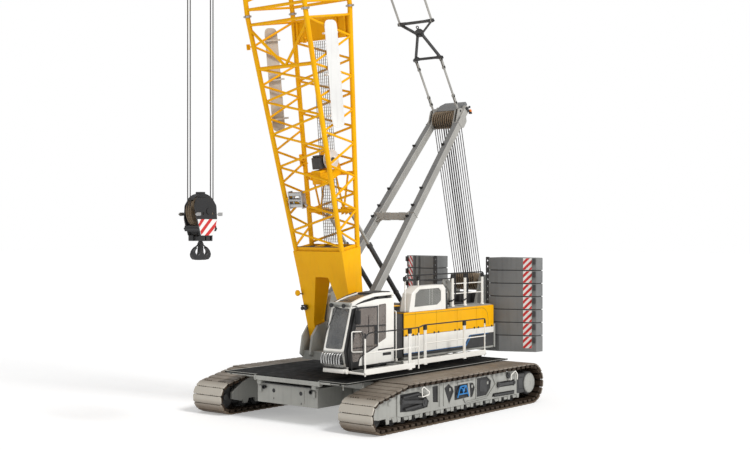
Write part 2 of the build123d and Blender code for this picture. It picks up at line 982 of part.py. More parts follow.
def pane(outline, y_low, y_high):
    with BuildPart() as piece:
        with BuildSketch(Plane.XZ.offset(-y_high)):
            Polygon(*outline, align=None)
            offset(amount=-seat_gap, kind=Kind.INTERSECTION, mode=Mode.REPLACE)
        extrude(amount=y_high - y_low)
    return piece.part


screen_glass = [(3690, 2241), (3698, 2241), (3363, 3329), (3355, 3329)]
foot_glass = [(3602, 1761), (3610, 1761), (3687, 2079), (3679, 2079)]
cab_glass = joined(
    [
        pane(quarter_opening, cab_outer_y - 30, cab_outer_y - 22),
        pane(right_opening, cab_inner_y + 22, cab_inner_y + 30),
        side_plate(screen_glass, cab_inner_y + 70 + seat_gap, cab_outer_y - 70 - seat_gap),
        side_plate(foot_glass, cab_inner_y + 70 + seat_gap, cab_outer_y - 70 - seat_gap),
        block(
            cab_rear_x + 21,
            cab_rear_x + 29,
            cab_inner_y + rear_window_edge + seat_gap,
            cab_outer_y - rear_window_edge - seat_gap,
            rear_window_low + seat_gap,
            rear_window_high - seat_gap,
        ),
    ]
)
keep(cab_glass, "cab_glass")

door_outline = [(2200, 1700), (3490, 1700), (3560, 2160), (3190, 3370), (2200, 3370)]
door_window = [(2310, 1880), (3400, 1880), (3430, 2160), (3110, 3270), (2310, 3270)]
door_y = cab_outer_y + door_gap
cab_door = joined(
    [side_plate(door_outline, door_y, door_y + door_thickness)],
    [side_plate(door_window, door_y - 10, door_y + door_thickness + 10)],
)
keep(cab_door, "cab_door")
door_glass = joined([pane(door_window, door_y + 16, door_y + 24)])
keep(door_glass, "door_glass")
door_rail = joined(
    [
        block(1450, 3480, cab_outer_y + seat_gap, door_y + door_thickness, 1664, 1700 - seat_gap),
    ]
)
keep(door_rail, "door_rail")


def cab_front_x(z):
    """The cab's lower front slope at height z."""
    return cab_toe_x + (cab_nose_x - cab_toe_x) * (z - frame_base) / (cab_nose_z - frame_base)


guard_profile = [
    (3740, 2120),
    (3900, 2060),
    (3960, 1900),
    (3880, 1740),
    (3650, 1690),
    (3650, 1720),
    (3860, 1765),
    (3930, 1900),
    (3880, 2035),
    (3740, 2090),
]
guard_y_low = cab_inner_y + 40
guard_y_high = cab_outer_y - 30
guard_bar_count = 9
guard_pitch = 95
guard_bar_half = 9
guard_top_z = 2125
guard_foot_z = 1725
guard_bars = [
    side_plate(guard_profile, y - guard_bar_half, y + guard_bar_half)
    for y in [guard_y_low + 10 + guard_pitch * number for number in range(guard_bar_count)]
]
for z, depth, end_x in ((guard_top_z, 45, 3775), (guard_foot_z, 35, 3660)):
    guard_bars.append(block(cab_front_x(z) + seat_gap, end_x, guard_y_low, guard_y_high, z - depth, z))
front_guard = joined(guard_bars)
keep(front_guard, "front_guard")

seat_base = cab_floor_top + seat_gap
cab_seat = joined(
    [
        block(2050, 2450, 1290, 1650, seat_base, 2080),
        block(1950, 2520, 1230, 1710, 2080, 2220),
        side_plate([(1800, 2180), (1960, 2180), (1900, 2950), (1780, 2950)], 1240, 1700),
        block(2150, 2650, 1110, 1210, seat_base, 2330),
        block(3250, 3420, 1250, 1700, seat_base, 2250),
    ]
)
keep(cab_seat, "cab_seat")

# Counterweight: a bridging base and two stacks of plates
cw_stack_outline = [
    (cw_front_x, cw_inner_y),
    (cw_front_x, cw_corner_y),
    (cw_outer_x, cw_outer_y),
    (cw_back_x, cw_outer_y + 30),
    (cw_back_x, cw_inner_y),
]
base_top = cw_low + cw_base_height
counterweight_base = joined(
    both_sides([plan_plate(cw_stack_outline, cw_low, base_top)])
    + [block(cw_back_x, cw_front_x, -cw_inner_y - 5, cw_inner_y + 5, cw_low, base_top)]
)
keep(counterweight_base, "counterweight_base")
slabs = []
for number in range(cw_slab_count):
    slab_low = base_top + slab_gap + number * cw_slab_height
    slabs.append(plan_plate(cw_stack_outline, slab_low, slab_low + cw_slab_height - slab_gap))
    lug_z = slab_low + cw_slab_height / 2
    slabs.append(
        block(
            cw_front_x - cw_lug_length,
            cw_front_x,
            cw_lug_inner_y,
            cw_inner_y + 5,
            lug_z - cw_lug_half_height,
            lug_z + cw_lug_half_height,
        )
    )
counterweight_left = joined(slabs)
keep(counterweight_left, "counterweight_left")
counterweight_right = joined([mirrored(counterweight_left.part)])
keep(counterweight_right, "counterweight_right")

# Mast: two box legs that lean together, cross beams and a head with the sheave shaft
leg_run = Vector(mast_head_x - mast_pin_x, mast_head_y - mast_foot_y, mast_head_z - mast_pin_z)


def on_mast(share, y=None, lift=0):
    x = mast_pin_x + share * leg_run.X
    z = mast_pin_z + share * leg_run.Z + lift
    across = mast_foot_y + share * leg_run.Y if y is None else y
    return x, across, z


head_cheek_outline = [
    (mast_head_x + 330, mast_head_z - 250),
    (mast_head_x + 200, mast_head_z + 230),
    (pendant_pin_x + 110, pendant_pin_z + 60),
    (pendant_pin_x - 60, pendant_pin_z + 110),
    (mast_head_x - 260, mast_head_z + 200),
    (mast_head_x - 330, mast_head_z - 60),
    (mast_head_x - 150, mast_head_z - 300),
]
cheek_low = mast_pack_half + 20
mast_parts = both_sides(
    [
        beam(on_mast(0.0), on_mast(1.0), mast_leg_width, mast_leg_depth),
        cross_cylinder(
            mast_pin_x,
            mast_pin_z,
            190,
            mast_foot_y - 118,
            mast_foot_y + 118,
        ),
        side_plate(head_cheek_outline, cheek_low, cheek_low + 35),
        side_plate(head_cheek_outline, pendant_y + 45, pendant_y + 80),
        cross_cylinder(pendant_pin_x, pendant_pin_z, pendant_pin_radius, cheek_low + 5, pendant_y + 75),
    ]
)
cross_reach = mast_foot_y + cross_beam_share * leg_run.Y - 10
hood_outline = [
    (mast_head_x - 385, mast_head_z + 30),
    (mast_head_x - 410, mast_head_z + 330),
    (mast_head_x - 230, mast_head_z + 560),
    (mast_head_x + 60, mast_head_z + 560),
    (mast_head_x + 60, mast_head_z + 560 - hood_thickness),
    (mast_head_x - 218, mast_head_z + 560 - hood_thickness),
    (mast_head_x - 384, mast_head_z + 322),
    (mast_head_x - 360, mast_head_z + 30),
]
hood_rib = [
    (mast_head_x - 384, mast_head_z + 30),
    (mast_head_x - 408, mast_head_z + 330),
    (mast_head_x - 229, mast_head_z + 558),
    (mast_head_x + 60, mast_head_z + 558),
    (mast_head_x - 60, mast_head_z + 200),
    (mast_head_x - 200, mast_head_z + 30),
]
mast_parts += both_sides([side_plate(hood_rib, cheek_low, cheek_low + 35)])
mast_parts += [
    side_plate(hood_outline, -cheek_low - 10, cheek_low + 10),
    beam(
        on_mast(cross_beam_share, y=-cross_reach),
        on_mast(cross_beam_share, y=cross_reach),
        300,
        240,
        across=(1, 0, 0),
    ),
    cross_cylinder(mast_head_x, mast_head_z, mast_shaft_radius, -cheek_low - 20, cheek_low + 20),
]
mast_bores = both_sides([cross_cylinder(mast_pin_x, mast_pin_z, mast_pin_radius + pin_play, 500, 1100)])
head_room = [
    cross_cylinder(mast_head_x, mast_head_z, 330, -mast_pack_half - 8, mast_pack_half + 8),
]
mast_frame = joined(
    [joined(mast_parts[:-1], head_room).part, mast_parts[-1]],
    mast_bores,
)
keep(mast_frame, "mast_frame")


def sheave_pack(x, z, bore):
    """A row of rope sheaves turned in one, with a groove for each rope and a rim between neighbours."""
    profile = [(-mast_pack_half, bore), (-mast_pack_half, pack_rim_radius)]
    for y in fall_ys:
        profile += [(y - pack_groove_top, pack_rim_radius), (y - pack_groove_low, pack_groove_radius)]
        profile += [(y + pack_groove_low, pack_groove_radius), (y + pack_groove_top, pack_rim_radius)]
    profile += [(mast_pack_half, pack_rim_radius), (mast_pack_half, bore)]
    return joined([turned(x, z, profile)])


mast_sheaves = sheave_pack(mast_head_x, mast_head_z, mast_shaft_radius + pin_play)
keep(mast_sheaves, "mast_sheaves")

# Luffing falls from the rear axle up to the mast head
falls_sheaves = sheave_pack(falls_axis_x, falls_axis_z, falls_axis_radius + pin_play)
keep(falls_sheaves, "falls_sheaves")
fall_run = Vector(mast_head_x - falls_axis_x, 0, mast_head_z - falls_axis_z)
fall_direction = fall_run.normalized()
fall_side = Vector(fall_direction.Z, 0, -fall_direction.X)
fall_offset = pack_groove_radius + rope_radius + seat_gap
top_share = 0.93


def fall_points(side, y, share):
    along = fall_run * share
    x = falls_axis_x + along.X + side * fall_offset * fall_side.X
    z = falls_axis_z + along.Z + side * fall_offset * fall_side.Z
    return x, y, z


luffing_falls = joined(
    [
        strut(fall_points(side, y, 0), fall_points(side, y, top_share), rope_radius)
        for side in (1, -1)
        for y in fall_ys
    ]
)
keep(luffing_falls, "luffing_falls")
luffing_falls_top = joined(
    [
        strut(fall_points(side, y, top_share + 0.00005), fall_points(side, y, 1), rope_radius)
        for side in (1, -1)
        for y in fall_ys
    ]
)
keep(luffing_falls_top, "luffing_falls_top")

# Boom
along = Vector(cos(radians(boom_angle)), 0, sin(radians(boom_angle)))
forward = Vector(sin(radians(boom_angle)), 0, -cos(radians(boom_angle)))


def on_boom(u, y, v):
    point = along * u + forward * v
    return boom_pin_x + point.X, y, boom_pin_z + point.Z


def chord(u, front):
    """Half width y and offset v of a main tube at u."""
    full_y = foot_half_y + foot_rate_y * butt_end_u
    full_front = front_v0 + front_rate * butt_end_u
    full_rear = rear_v0 + rear_rate * butt_end_u
    if u <= butt_end_u:
        v = front_v0 + front_rate * u if front else rear_v0 + rear_rate * u
        return foot_half_y + foot_rate_y * u, v
    if u <= head_taper_u:
        return full_y, full_front if front else full_rear
    share = (u - head_taper_u) / (head_end_u - head_taper_u)
    end_v = head_front_v if front else head_rear_v
    start_v = full_front if front else full_rear
    return full_y + (head_half_y - full_y) * share, start_v + (end_v - start_v) * share


def corner(u, side, front):
    half_y, v = chord(u, front)
    return on_boom(u, side * half_y, v)


def brace(low, high, radius=lace_radius):
    """A straight tube between two points of the main tubes, each given as (u, side, front)."""
    return strut(corner(*low), corner(*high), radius)


def lattice(stations, tube_breaks, frame_us):
    """Main tubes between the breaks, a zigzag of bracing on each face, and square frames at some stations."""
    parts = []
    for side in (1, -1):
        for front in (True, False):
            for low, high in zip(tube_breaks, tube_breaks[1:]):
                parts.append(strut(corner(low, side, front), corner(high, side, front), chord_radius, 8))
    for number, (low, high) in enumerate(zip(stations, stations[1:])):
        flip = -1 if number % 2 else 1
        parts.append(brace((low, flip, True), (high, -flip, True)))
        parts.append(brace((low, -flip, False), (high, flip, False)))
        parts.append(brace((low, 1, flip < 0), (high, 1, flip > 0)))
        parts.append(brace((low, -1, flip > 0), (high, -1, flip < 0)))
    for u in frame_us:
        for front in (True, False):
            parts.append(brace((u, -1, front), (u, 1, front), frame_bar_radius))
        for side in (1, -1):
            parts.append(brace((u, side, True), (u, side, False)))
    return parts


def connectors(u_low, u_high):
    """Square end blocks on the four main tubes, with faces square to the boom."""
    parts = []
    for side in (1, -1):
        for front in (True, False):
            half_y, v = chord((u_low + u_high) / 2, front)
            start = on_boom(u_low, side * half_y, v)
            parts.append(beam(start, on_boom(u_high, side * half_y, v), end_block_size, end_block_size))
    return parts


def evenly(low, high, count):
    return [low + (high - low) * number / count for number in range(count + 1)]


boom_side = Plane(origin=(boom_pin_x, 0, boom_pin_z), x_dir=along, z_dir=(0, -1, 0))
foot_front_v = front_v0 + front_rate * box_high_u + chord_radius
foot_rear_v = rear_v0 + rear_rate * box_high_u - chord_radius
# Boom side view: local x runs along the boom and local y runs to its rear
with BuildPart() as boom_foot:
    with BuildSketch(boom_side.offset(-1200)):
        Polygon(
            (0, 200),
            (0, -200),
            (box_high_u, -foot_front_v),
            (box_high_u, -foot_rear_v),
            align=None,
        )
        Circle(200)
    extrude(amount=2400)
    with BuildSketch(Plane(origin=on_boom(0, 0, -1000), x_dir=(0, 1, 0), z_dir=forward)):
        Polygon(
            (660, -300),
            (940, -300),
            (940, 300),
            (foot_half_y + foot_rate_y * box_low_u + 60, box_low_u),
            (foot_half_y + foot_rate_y * box_high_u + 60, box_high_u),
            (-foot_half_y - foot_rate_y * box_high_u - 60, box_high_u),
            (-foot_half_y - foot_rate_y * box_low_u - 60, box_low_u),
            (-940, 300),
            (-940, -300),
            (-660, -300),
            (-660, 550),
            (-250, box_low_u),
            (250, box_low_u),
            (660, 550),
            align=None,
        )
    extrude(amount=2000, mode=Mode.INTERSECT)
    for y in (800, -800):
        add(
            cross_cylinder(boom_pin_x, boom_pin_z, boom_pin_radius + pin_play, y - 250, y + 250),
            mode=Mode.SUBTRACT,
        )
keep(boom_foot, "boom_foot")

rear_beams = [
    beam(corner(u, -1, False), corner(u, 1, False), rear_beam_size, rear_beam_size, across=(1, 0, 0))
    for u in (stop_lug_u, rear_beam_u)
]
stop_lugs = []
for y in (385, 535):
    lug_end = stop_eye_back + 80
    lug_points = [(-90, 0), (90, 0), (60, lug_end), (-60, lug_end)]
    rear_v = rear_v0 + rear_rate * stop_lug_u
    lug_corners = [on_boom(stop_lug_u + u, 0, rear_v - back) for u, back in lug_points]
    outline = [(x, z) for x, _, z in lug_corners]
    stop_lugs.append(side_plate(outline, y - 10, y + 10))
# The top bay leaves the front open: one bar across, side braces that meet halfway, and the joint frame
top_braces = [
    brace((butt_lace_high_u, -1, True), (butt_lace_high_u, 1, True), frame_bar_radius),
    brace((butt_lace_high_u, 1, True), (butt_side_node_u, 1, False)),
    brace((butt_side_node_u, 1, False), (butt_top_frame_u, 1, True)),
    brace((butt_lace_high_u, -1, False), (butt_side_node_u, -1, True)),
    brace((butt_side_node_u, -1, True), (butt_top_frame_u, -1, False)),
    brace((butt_lace_high_u, 1, False), (butt_side_node_u, -1, False)),
]
boom_butt = joined(
    lattice(
        evenly(butt_lace_low_u, butt_lace_high_u, 11),
        [box_high_u + end_block_length / 2, butt_end_u - end_block_length / 2],
        [butt_top_frame_u],
    )
    + connectors(box_high_u + seat_gap, box_high_u + end_block_length)
    + connectors(butt_end_u - end_block_length, butt_end_u - seat_gap)
    + rear_beams
    + top_braces
    + both_sides(stop_lugs)
)
keep(boom_butt, "boom_butt")
boom_mid = joined(
    lattice(
        evenly(mid_lace_low_u, mid_lace_high_u, 10),
        [butt_end_u + end_block_length / 2, mid_end_u - end_block_length / 2],
        [mid_lace_low_u - 240, mid_lace_high_u + 240],
    )
    + connectors(butt_end_u, butt_end_u + end_block_length)
    + connectors(mid_end_u - end_block_length, mid_end_u - seat_gap)
)
keep(boom_mid, "boom_mid")

pendant_lugs = []
lug_rear_v = chord(pendant_lug_u, False)[1]
for y in (pendant_y + 60, pendant_y + 220):
    lug_points = [
        (pendant_lug_u - 150, lug_rear_v),
        (pendant_lug_u + 150, lug_rear_v),
        (pendant_lug_u + 80, pendant_lug_v - 60),
        (pendant_lug_u - 80, pendant_lug_v - 60),
    ]
    outline = [(x, z) for x, _, z in [on_boom(u, 0, v) for u, v in lug_points]]
    pendant_lugs.append(side_plate(outline, y - 15, y + 15))
pendant_beam = beam(
    corner(pendant_lug_u, -1, False),
    corner(pendant_lug_u, 1, False),
    pendant_beam_size,
    pendant_beam_size,
    across=(1, 0, 0),
)
head_plate_points = [
    (head_end_u - 700, -190),
    (head_end_u + 500, -190),
    (sheave_u + 380, 300),
    (sheave_u + 330, sheave_v - 100),
    (sheave_u + 120, sheave_v + 190),
    (sheave_u - 190, sheave_v + 120),
    (sheave_u - 350, 900),
    (head_end_u - 700, 640),
]
head_plate_outline = [(x, z) for x, _, z in [on_boom(u, 0, v) for u, v in head_plate_points]]
sheave_x, _, sheave_z = on_boom(sheave_u, 0, sheave_v)
head_parts = lattice(
    evenly(mid_end_u + 400, head_lace_high_u, 13),
    [mid_end_u + end_block_length / 2, head_taper_u, head_end_u],
    [mid_end_u + 220, head_taper_u, head_lace_high_u],
)
head_parts += connectors(mid_end_u, mid_end_u + end_block_length)
head_parts += both_sides([side_plate(head_plate_outline, head_half_y - 60, head_half_y)])
head_parts += both_sides(pendant_lugs)
head_parts += [pendant_beam, cross_cylinder(sheave_x, sheave_z, head_shaft_radius, -head_half_y, head_half_y)]
head_beam_half = head_half_y - 10
for u, v, width, depth in ((head_end_u - 200, 100, 300, 300), (head_end_u + 500, 60, 240, 200)):
    left = on_boom(u, -head_beam_half, v)
    head_parts.append(beam(left, on_boom(u, head_beam_half, v), width, depth, across=(1, 0, 0)))
boom_head = joined(head_parts)
keep(boom_head, "boom_head")


def rope_sheaves(x, z, bore):
    rings = []
    cuts = [cross_cylinder(x, z, bore, -300, 300)]
    for y in (-fall_y, fall_y):
        rings.append(cross_cylinder(x, z, fall_radius - rope_radius - seat_gap, y - 45, y + 45))
        for side in (1, -1):
            low = min(y + side * 24, y + side * 45)
            rings.append(cross_cylinder(x, z, fall_radius + 35, low, low + 21))
    return joined(rings, cuts)


head_sheaves = rope_sheaves(sheave_x, sheave_z, head_shaft_radius + pin_play)
keep(head_sheaves, "head_sheaves")

# Hoist falls, hook block and hook
fall_xs = (sheave_x - fall_radius, sheave_x + fall_radius)
fall_corners = [(x, y) for x in fall_xs for y in (-fall_y, fall_y)]
hoist_falls_high = joined(
    [strut((x, y, rope_split_z + seat_gap), (x, y, sheave_z), rope_radius) for x, y in fall_corners]
)
keep(hoist_falls_high, "hoist_falls_high")
hoist_falls_low = joined(
    [strut((x, y, hook_sheave_z), (x, y, rope_split_z), rope_radius) for x, y in fall_corners]
)
keep(hoist_falls_low, "hoist_falls_low")
hook_sheaves = rope_sheaves(sheave_x, hook_sheave_z, 50 + pin_play)
keep(hook_sheaves, "hook_sheaves")

cross_z = hook_sheave_z - 760
cheek_inner_y = 190
cheek_outer_y = 250
cover_low_radius = fall_radius + 45
cover_high_radius = cover_low_radius + 15
cheek_right = [(320, 500), (400, 380), (470, 160), (484, -190), (344, -700)]
cheek_outline = [(sheave_x + x, hook_sheave_z + z) for x, z in cheek_right]
cheek_outline += [(sheave_x - x, hook_sheave_z + z) for x, z in reversed(cheek_right)]
with BuildPart() as sheave_cover:
    with BuildSketch(Plane.XZ.offset(-cheek_outer_y)):
        with Locations((sheave_x, hook_sheave_z)):
            Circle(cover_high_radius)
            Circle(cover_low_radius, mode=Mode.SUBTRACT)
        Polygon(
            (sheave_x, hook_sheave_z),
            (sheave_x + 900, hook_sheave_z + 700),
            (sheave_x - 900, hook_sheave_z + 700),
            align=None,
            mode=Mode.INTERSECT,
        )
    extrude(amount=2 * cheek_outer_y)
hook_block = joined(
    both_sides([side_plate(cheek_outline, cheek_inner_y, cheek_outer_y)])
    + [
        sheave_cover.part,
        cross_cylinder(sheave_x, hook_sheave_z, 50, -cheek_outer_y - 25, cheek_outer_y + 25),
        block(sheave_x - 170, sheave_x + 170, -cheek_outer_y, cheek_outer_y, cross_z - 20, cross_z + 130),
    ],
    [
        block(sheave_x - 62, sheave_x + 62, -62, 62, cross_z - 100, cross_z + 200),
    ],
)
keep(hook_block, "hook_block")

hook_outline_right = [
    (0, cross_z - 60),
    (55, cross_z - 60),
    (60, cross_z - 150),
    (75, cross_z - 215),
    (75, cross_z - 280),
    (115, cross_z - 345),
    (180, cross_z - 355),
    (225, cross_z - 310),
    (222, cross_z - 240),
    (275, cross_z - 215),
    (315, cross_z - 300),
    (298, cross_z - 415),
    (215, cross_z - 495),
    (90, cross_z - 530),
    (0, hook_low_z),
]
hook_outline = [(sheave_x + x, z) for x, z in hook_outline_right]
hook_outline += [(sheave_x - x, z) for x, z in reversed(hook_outline_right[1:-1])]
hook_half_width = 60
hook_edge = 22
with BuildPart() as hook:
    add(side_plate(hook_outline, -hook_half_width, hook_half_width))
    faces = hook.faces().filter_by(Axis.Y)
    chamfer(faces.edges(), hook_edge)
    with BuildSketch(Plane.XY.offset(cross_z - 100)):
        with Locations((sheave_x, 0)):
            Circle(55)
    extrude(amount=270)
    with BuildSketch(Plane.XY.offset(cross_z + 130 + seat_gap)):
        with Locations((sheave_x, 0)):
            Circle(100)
    extrude(amount=60)
keep(hook, "hook")

# Backstops: a tube from the platform and a rod from the boom on each side
stop_y = 460
stop_top_x, _, stop_top_z = on_boom(stop_lug_u, 0, rear_v0 + rear_rate * stop_lug_u - stop_eye_back)
stop_run = Vector(stop_top_x - stop_pin_x, 0, stop_top_z - stop_pin_z)
stop_direction = stop_run.normalized()


def on_stop(distance, y):
    return stop_pin_x + stop_direction.X * distance, y, stop_pin_z + stop_direction.Z * distance


tube_length = 2600
tube_radius = 75
rod_radius = 52
with BuildPart() as stop_tube:
    with BuildSketch(Plane(origin=on_stop(0, stop_y), z_dir=stop_direction)):
        Circle(tube_radius)
    extrude(amount=tube_length)
    with BuildSketch(Plane(origin=on_stop(250, stop_y), z_dir=stop_direction)):
        Circle(rod_radius + 1)
    extrude(amount=tube_length, mode=Mode.SUBTRACT)
    add(cross_cylinder(stop_pin_x, stop_pin_z, 85, stop_y - 70, stop_y + 70))
    add(
        cross_cylinder(stop_pin_x, stop_pin_z, stop_pin_radius + pin_play, stop_y - 100, stop_y + 100),
        mode=Mode.SUBTRACT,
    )
with BuildPart() as stop_rod:
    with BuildSketch(Plane(origin=on_stop(550, stop_y), z_dir=stop_direction)):
        Circle(rod_radius)
    extrude(amount=stop_run.length - 550)
    add(cross_cylinder(stop_top_x, stop_top_z, 60, stop_y - 30, stop_y + 30))
backstop_tubes = joined(both_sides([stop_tube.part]))
keep(backstop_tubes, "backstop_tubes")
backstop_rods = joined(both_sides([stop_rod.part]))
keep(backstop_rods, "backstop_rods")

# Pendants: flat links from the mast head to the spreader yoke and on to the boom head
pendant_top_x, _, pendant_top_z = on_boom(pendant_lug_u, 0, pendant_lug_v)
pendant_run = Vector(pendant_top_x - pendant_pin_x, 0, pendant_top_z - pendant_pin_z)
pendant_direction = pendant_run.normalized()
yoke_low = 1950
yoke_mid = 2950
yoke_high = 3250
yoke_bar_width = 90
upper_y = 650
link_width = 40
link_depth = 90


def on_pendant(distance, y):
    return pendant_pin_x + pendant_direction.X * distance, y, pendant_pin_z + pendant_direction.Z * distance


pendant_eye = cross_cylinder(pendant_pin_x, pendant_pin_z, 70, pendant_y - 25, pendant_y + 25)
pendant_bore = cross_cylinder(
    pendant_pin_x, pendant_pin_z, pendant_pin_radius + pin_play, pendant_y - 50, pendant_y + 50
)
lower_link = joined(
    [beam(on_pendant(20, pendant_y), on_pendant(yoke_low, pendant_y), link_width, link_depth), pendant_eye],
    [pendant_bore],
)
pendants_low = joined(both_sides([lower_link.part]))
keep(pendants_low, "pendants_low")


def yoke_bar(distance, half_length):
    start = on_pendant(distance, -half_length)
    return beam(start, on_pendant(distance, half_length), yoke_bar_width, 110, across=pendant_direction)


low_bar = yoke_low + seat_gap + yoke_bar_width / 2
high_bar = yoke_high + yoke_bar_width / 2
yoke_parts = [
    yoke_bar(low_bar, pendant_y + 60),
    yoke_bar(high_bar, upper_y + 60),
    beam(on_pendant(yoke_mid - 120, 0), on_pendant(yoke_mid + 60, 0), 160, 110),
]
for side in (1, -1):
    yoke_parts += [
        beam(on_pendant(low_bar, side * pendant_y), on_pendant(yoke_mid, side * 40), 60, 90),
        beam(on_pendant(yoke_mid - 100, side * 40), on_pendant(high_bar, side * upper_y), 60, 90),
    ]
spreader_yoke = joined(yoke_parts)
keep(spreader_yoke, "spreader_yoke")
high_start = yoke_high + yoke_bar_width + seat_gap
high_end = pendant_run.length - 20
upper_link = beam(on_pendant(high_start, upper_y), on_pendant(high_end, upper_y), link_width, link_depth)
pendants_high = joined(both_sides([upper_link]))
keep(pendants_high, "pendants_high")

print("loop length", round(loop_length), "shoe pitch", round(shoe_pitch, 3))
print("head sheave axis", round(sheave_x), round(sheave_z))
print("backstop top", round(stop_top_x), round(stop_top_z), "length", round(stop_run.length))
print("pendant top", round(pendant_top_x), round(pendant_top_z), "length", round(pendant_run.length))
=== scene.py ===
from math import asin, atan2, cos, hypot, pi, radians, sin, sqrt
import bpy
from mathutils import Matrix, Vector


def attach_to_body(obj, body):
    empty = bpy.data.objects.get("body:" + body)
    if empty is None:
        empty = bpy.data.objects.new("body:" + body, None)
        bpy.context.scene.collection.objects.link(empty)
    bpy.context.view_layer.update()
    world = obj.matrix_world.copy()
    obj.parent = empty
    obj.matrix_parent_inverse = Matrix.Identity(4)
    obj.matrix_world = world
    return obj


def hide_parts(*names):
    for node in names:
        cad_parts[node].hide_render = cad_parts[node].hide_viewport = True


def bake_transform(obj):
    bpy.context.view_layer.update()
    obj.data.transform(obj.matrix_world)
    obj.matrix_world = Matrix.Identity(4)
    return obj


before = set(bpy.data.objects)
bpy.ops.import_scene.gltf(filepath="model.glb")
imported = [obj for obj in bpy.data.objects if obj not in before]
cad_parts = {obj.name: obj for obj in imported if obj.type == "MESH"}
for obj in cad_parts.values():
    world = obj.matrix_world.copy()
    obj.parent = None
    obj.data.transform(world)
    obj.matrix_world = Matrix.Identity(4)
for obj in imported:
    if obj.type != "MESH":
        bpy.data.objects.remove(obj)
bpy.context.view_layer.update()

# Everything is in metres: +X to the boom, +Y to the cab side, +Z up


def clearSelection():
    bpy.ops.object.select_all(action="DESELECT")


def choose(*pieces):
    clearSelection()
    for piece in pieces:
        piece.select_set(True)
    bpy.context.view_layer.objects.active = pieces[0]


def bake(piece):
    choose(piece)
    bpy.ops.object.transform_apply(location=True, rotation=True, scale=True)


def settle(piece, place):
    piece.matrix_world = place @ piece.matrix_world
    bake(piece)
    return piece


def finishMesh(piece, angle=35):
    choose(piece)
    bpy.ops.object.mode_set(mode="EDIT")
    bpy.ops.mesh.select_all(action="SELECT")
    bpy.ops.mesh.remove_doubles(threshold=0.00005)
    bpy.ops.mesh.normals_make_consistent(inside=False)
    bpy.ops.object.mode_set(mode="OBJECT")
    bpy.ops.object.shade_smooth_by_angle(angle=radians(angle))
    return piece


def merged(name, pieces):
    choose(*pieces)
    if len(pieces) > 1:
        bpy.ops.object.join()
    made = bpy.context.view_layer.objects.active
    made.name = name
    return made


def copied(piece, place=None, name="copy"):
    made = bpy.data.objects.new(name, piece.data.copy())
    bpy.context.collection.objects.link(made)
    if place is not None:
        made.data.transform(place)
    return made


def discard(*pieces):
    for piece in pieces:
        bpy.data.objects.remove(piece, do_unlink=True)


def mirroredCopy(piece, name):
    made = copied(piece, Matrix.Scale(-1, 4, (0, 1, 0)), name)
    return finishMesh(made)


def block(low, high, edge=0.004, segments=1):
    # A box from corner to corner, with its edges broken
    clearSelection()
    bpy.ops.mesh.primitive_cube_add(size=1, location=[(a + b) / 2 for a, b in zip(low, high)])
    piece = bpy.context.object
    piece.scale = [b - a for a, b in zip(low, high)]
    bake(piece)
    if edge:
        bpy.ops.object.mode_set(mode="EDIT")
        bpy.ops.mesh.select_all(action="SELECT")
        bpy.ops.mesh.bevel(offset=edge, segments=segments)
        bpy.ops.object.mode_set(mode="OBJECT")
    return piece


tubeMasters = {}


def tube(start, end, radius, sides=8, capped=True):
    # A round bar, copied from one primitive for each number of sides
    key = (sides, capped)
    if key not in tubeMasters:
        clearSelection()
        fill = "NGON" if capped else "NOTHING"
        bpy.ops.mesh.primitive_cylinder_add(
            vertices=sides, radius=1, depth=1, end_fill_type=fill, location=(0, 0, 0.5)
        )
        master = bpy.context.object
        bake(master)
        master.name = "tubeMaster"
        tubeMasters[key] = master
    line = Vector(end) - Vector(start)
    turn = line.to_track_quat("Z", "X").to_matrix().to_4x4()
    size = Matrix.Diagonal((radius, radius, line.length, 1))
    piece = copied(tubeMasters[key], Matrix.Translation(start) @ turn @ size)
    for spot in piece.data.uv_layers.active.data:
        spot.uv.y *= line.length
    return piece


def crossPin(x, z, radius, yLow, yHigh, sides=20):
    return tube((x, yLow, z), (x, yHigh, z), radius, sides)


def span(side, near, far):
    # Two distances from the middle plane, in their order along Y
    return sorted((side * near, side * far))


def flatBar(start, end, width, depth, across=(0, 1, 0), edge=0.003):
    # A square bar between two points, its width lying along `across`
    line = Vector(end) - Vector(start)
    zAxis = line.normalized()
    yAxis = zAxis.cross(Vector(across)).normalized()
    xAxis = yAxis.cross(zAxis)
    turn = Matrix((xAxis, yAxis, zAxis)).transposed().to_4x4()
    piece = block((-width / 2, -depth / 2, 0), (width / 2, depth / 2, line.length), edge)
    return settle(piece, Matrix.Translation(start) @ turn)


def roundedPath(points, bend, steps=4):
    spots = [Vector(points[0])]
    for before, corner, after in zip(points, points[1:], points[2:]):
        before, corner, after = Vector(before), Vector(corner), Vector(after)
        reach = min(bend, (before - corner).length / 2.1, (after - corner).length / 2.1)
        first = corner + (before - corner).normalized() * reach
        last = corner + (after - corner).normalized() * reach
        for step in range(steps + 1):
            share = step / steps
            spots.append(first.lerp(corner, share).lerp(corner.lerp(last, share), share))
    spots.append(Vector(points[-1]))
    return spots


def pipe(points, radius, bend=0.08, sides=2):
    # A bent tube: a bevelled path turned into a mesh
    path = bpy.data.curves.new("pipe", "CURVE")
    path.dimensions = "3D"
    path.bevel_depth = radius
    path.bevel_resolution = sides
    path.use_fill_caps = True
    line = path.splines.new("POLY")
    spots = roundedPath(points, bend)
    line.points.add(len(spots) - 1)
    for point, spot in zip(line.points, spots):
        point.co = (*spot, 1)
    piece = bpy.data.objects.new("pipe", path)
    bpy.context.collection.objects.link(piece)
    choose(piece)
    bpy.ops.object.convert(target="MESH")
    return finishMesh(bpy.context.object, 60)


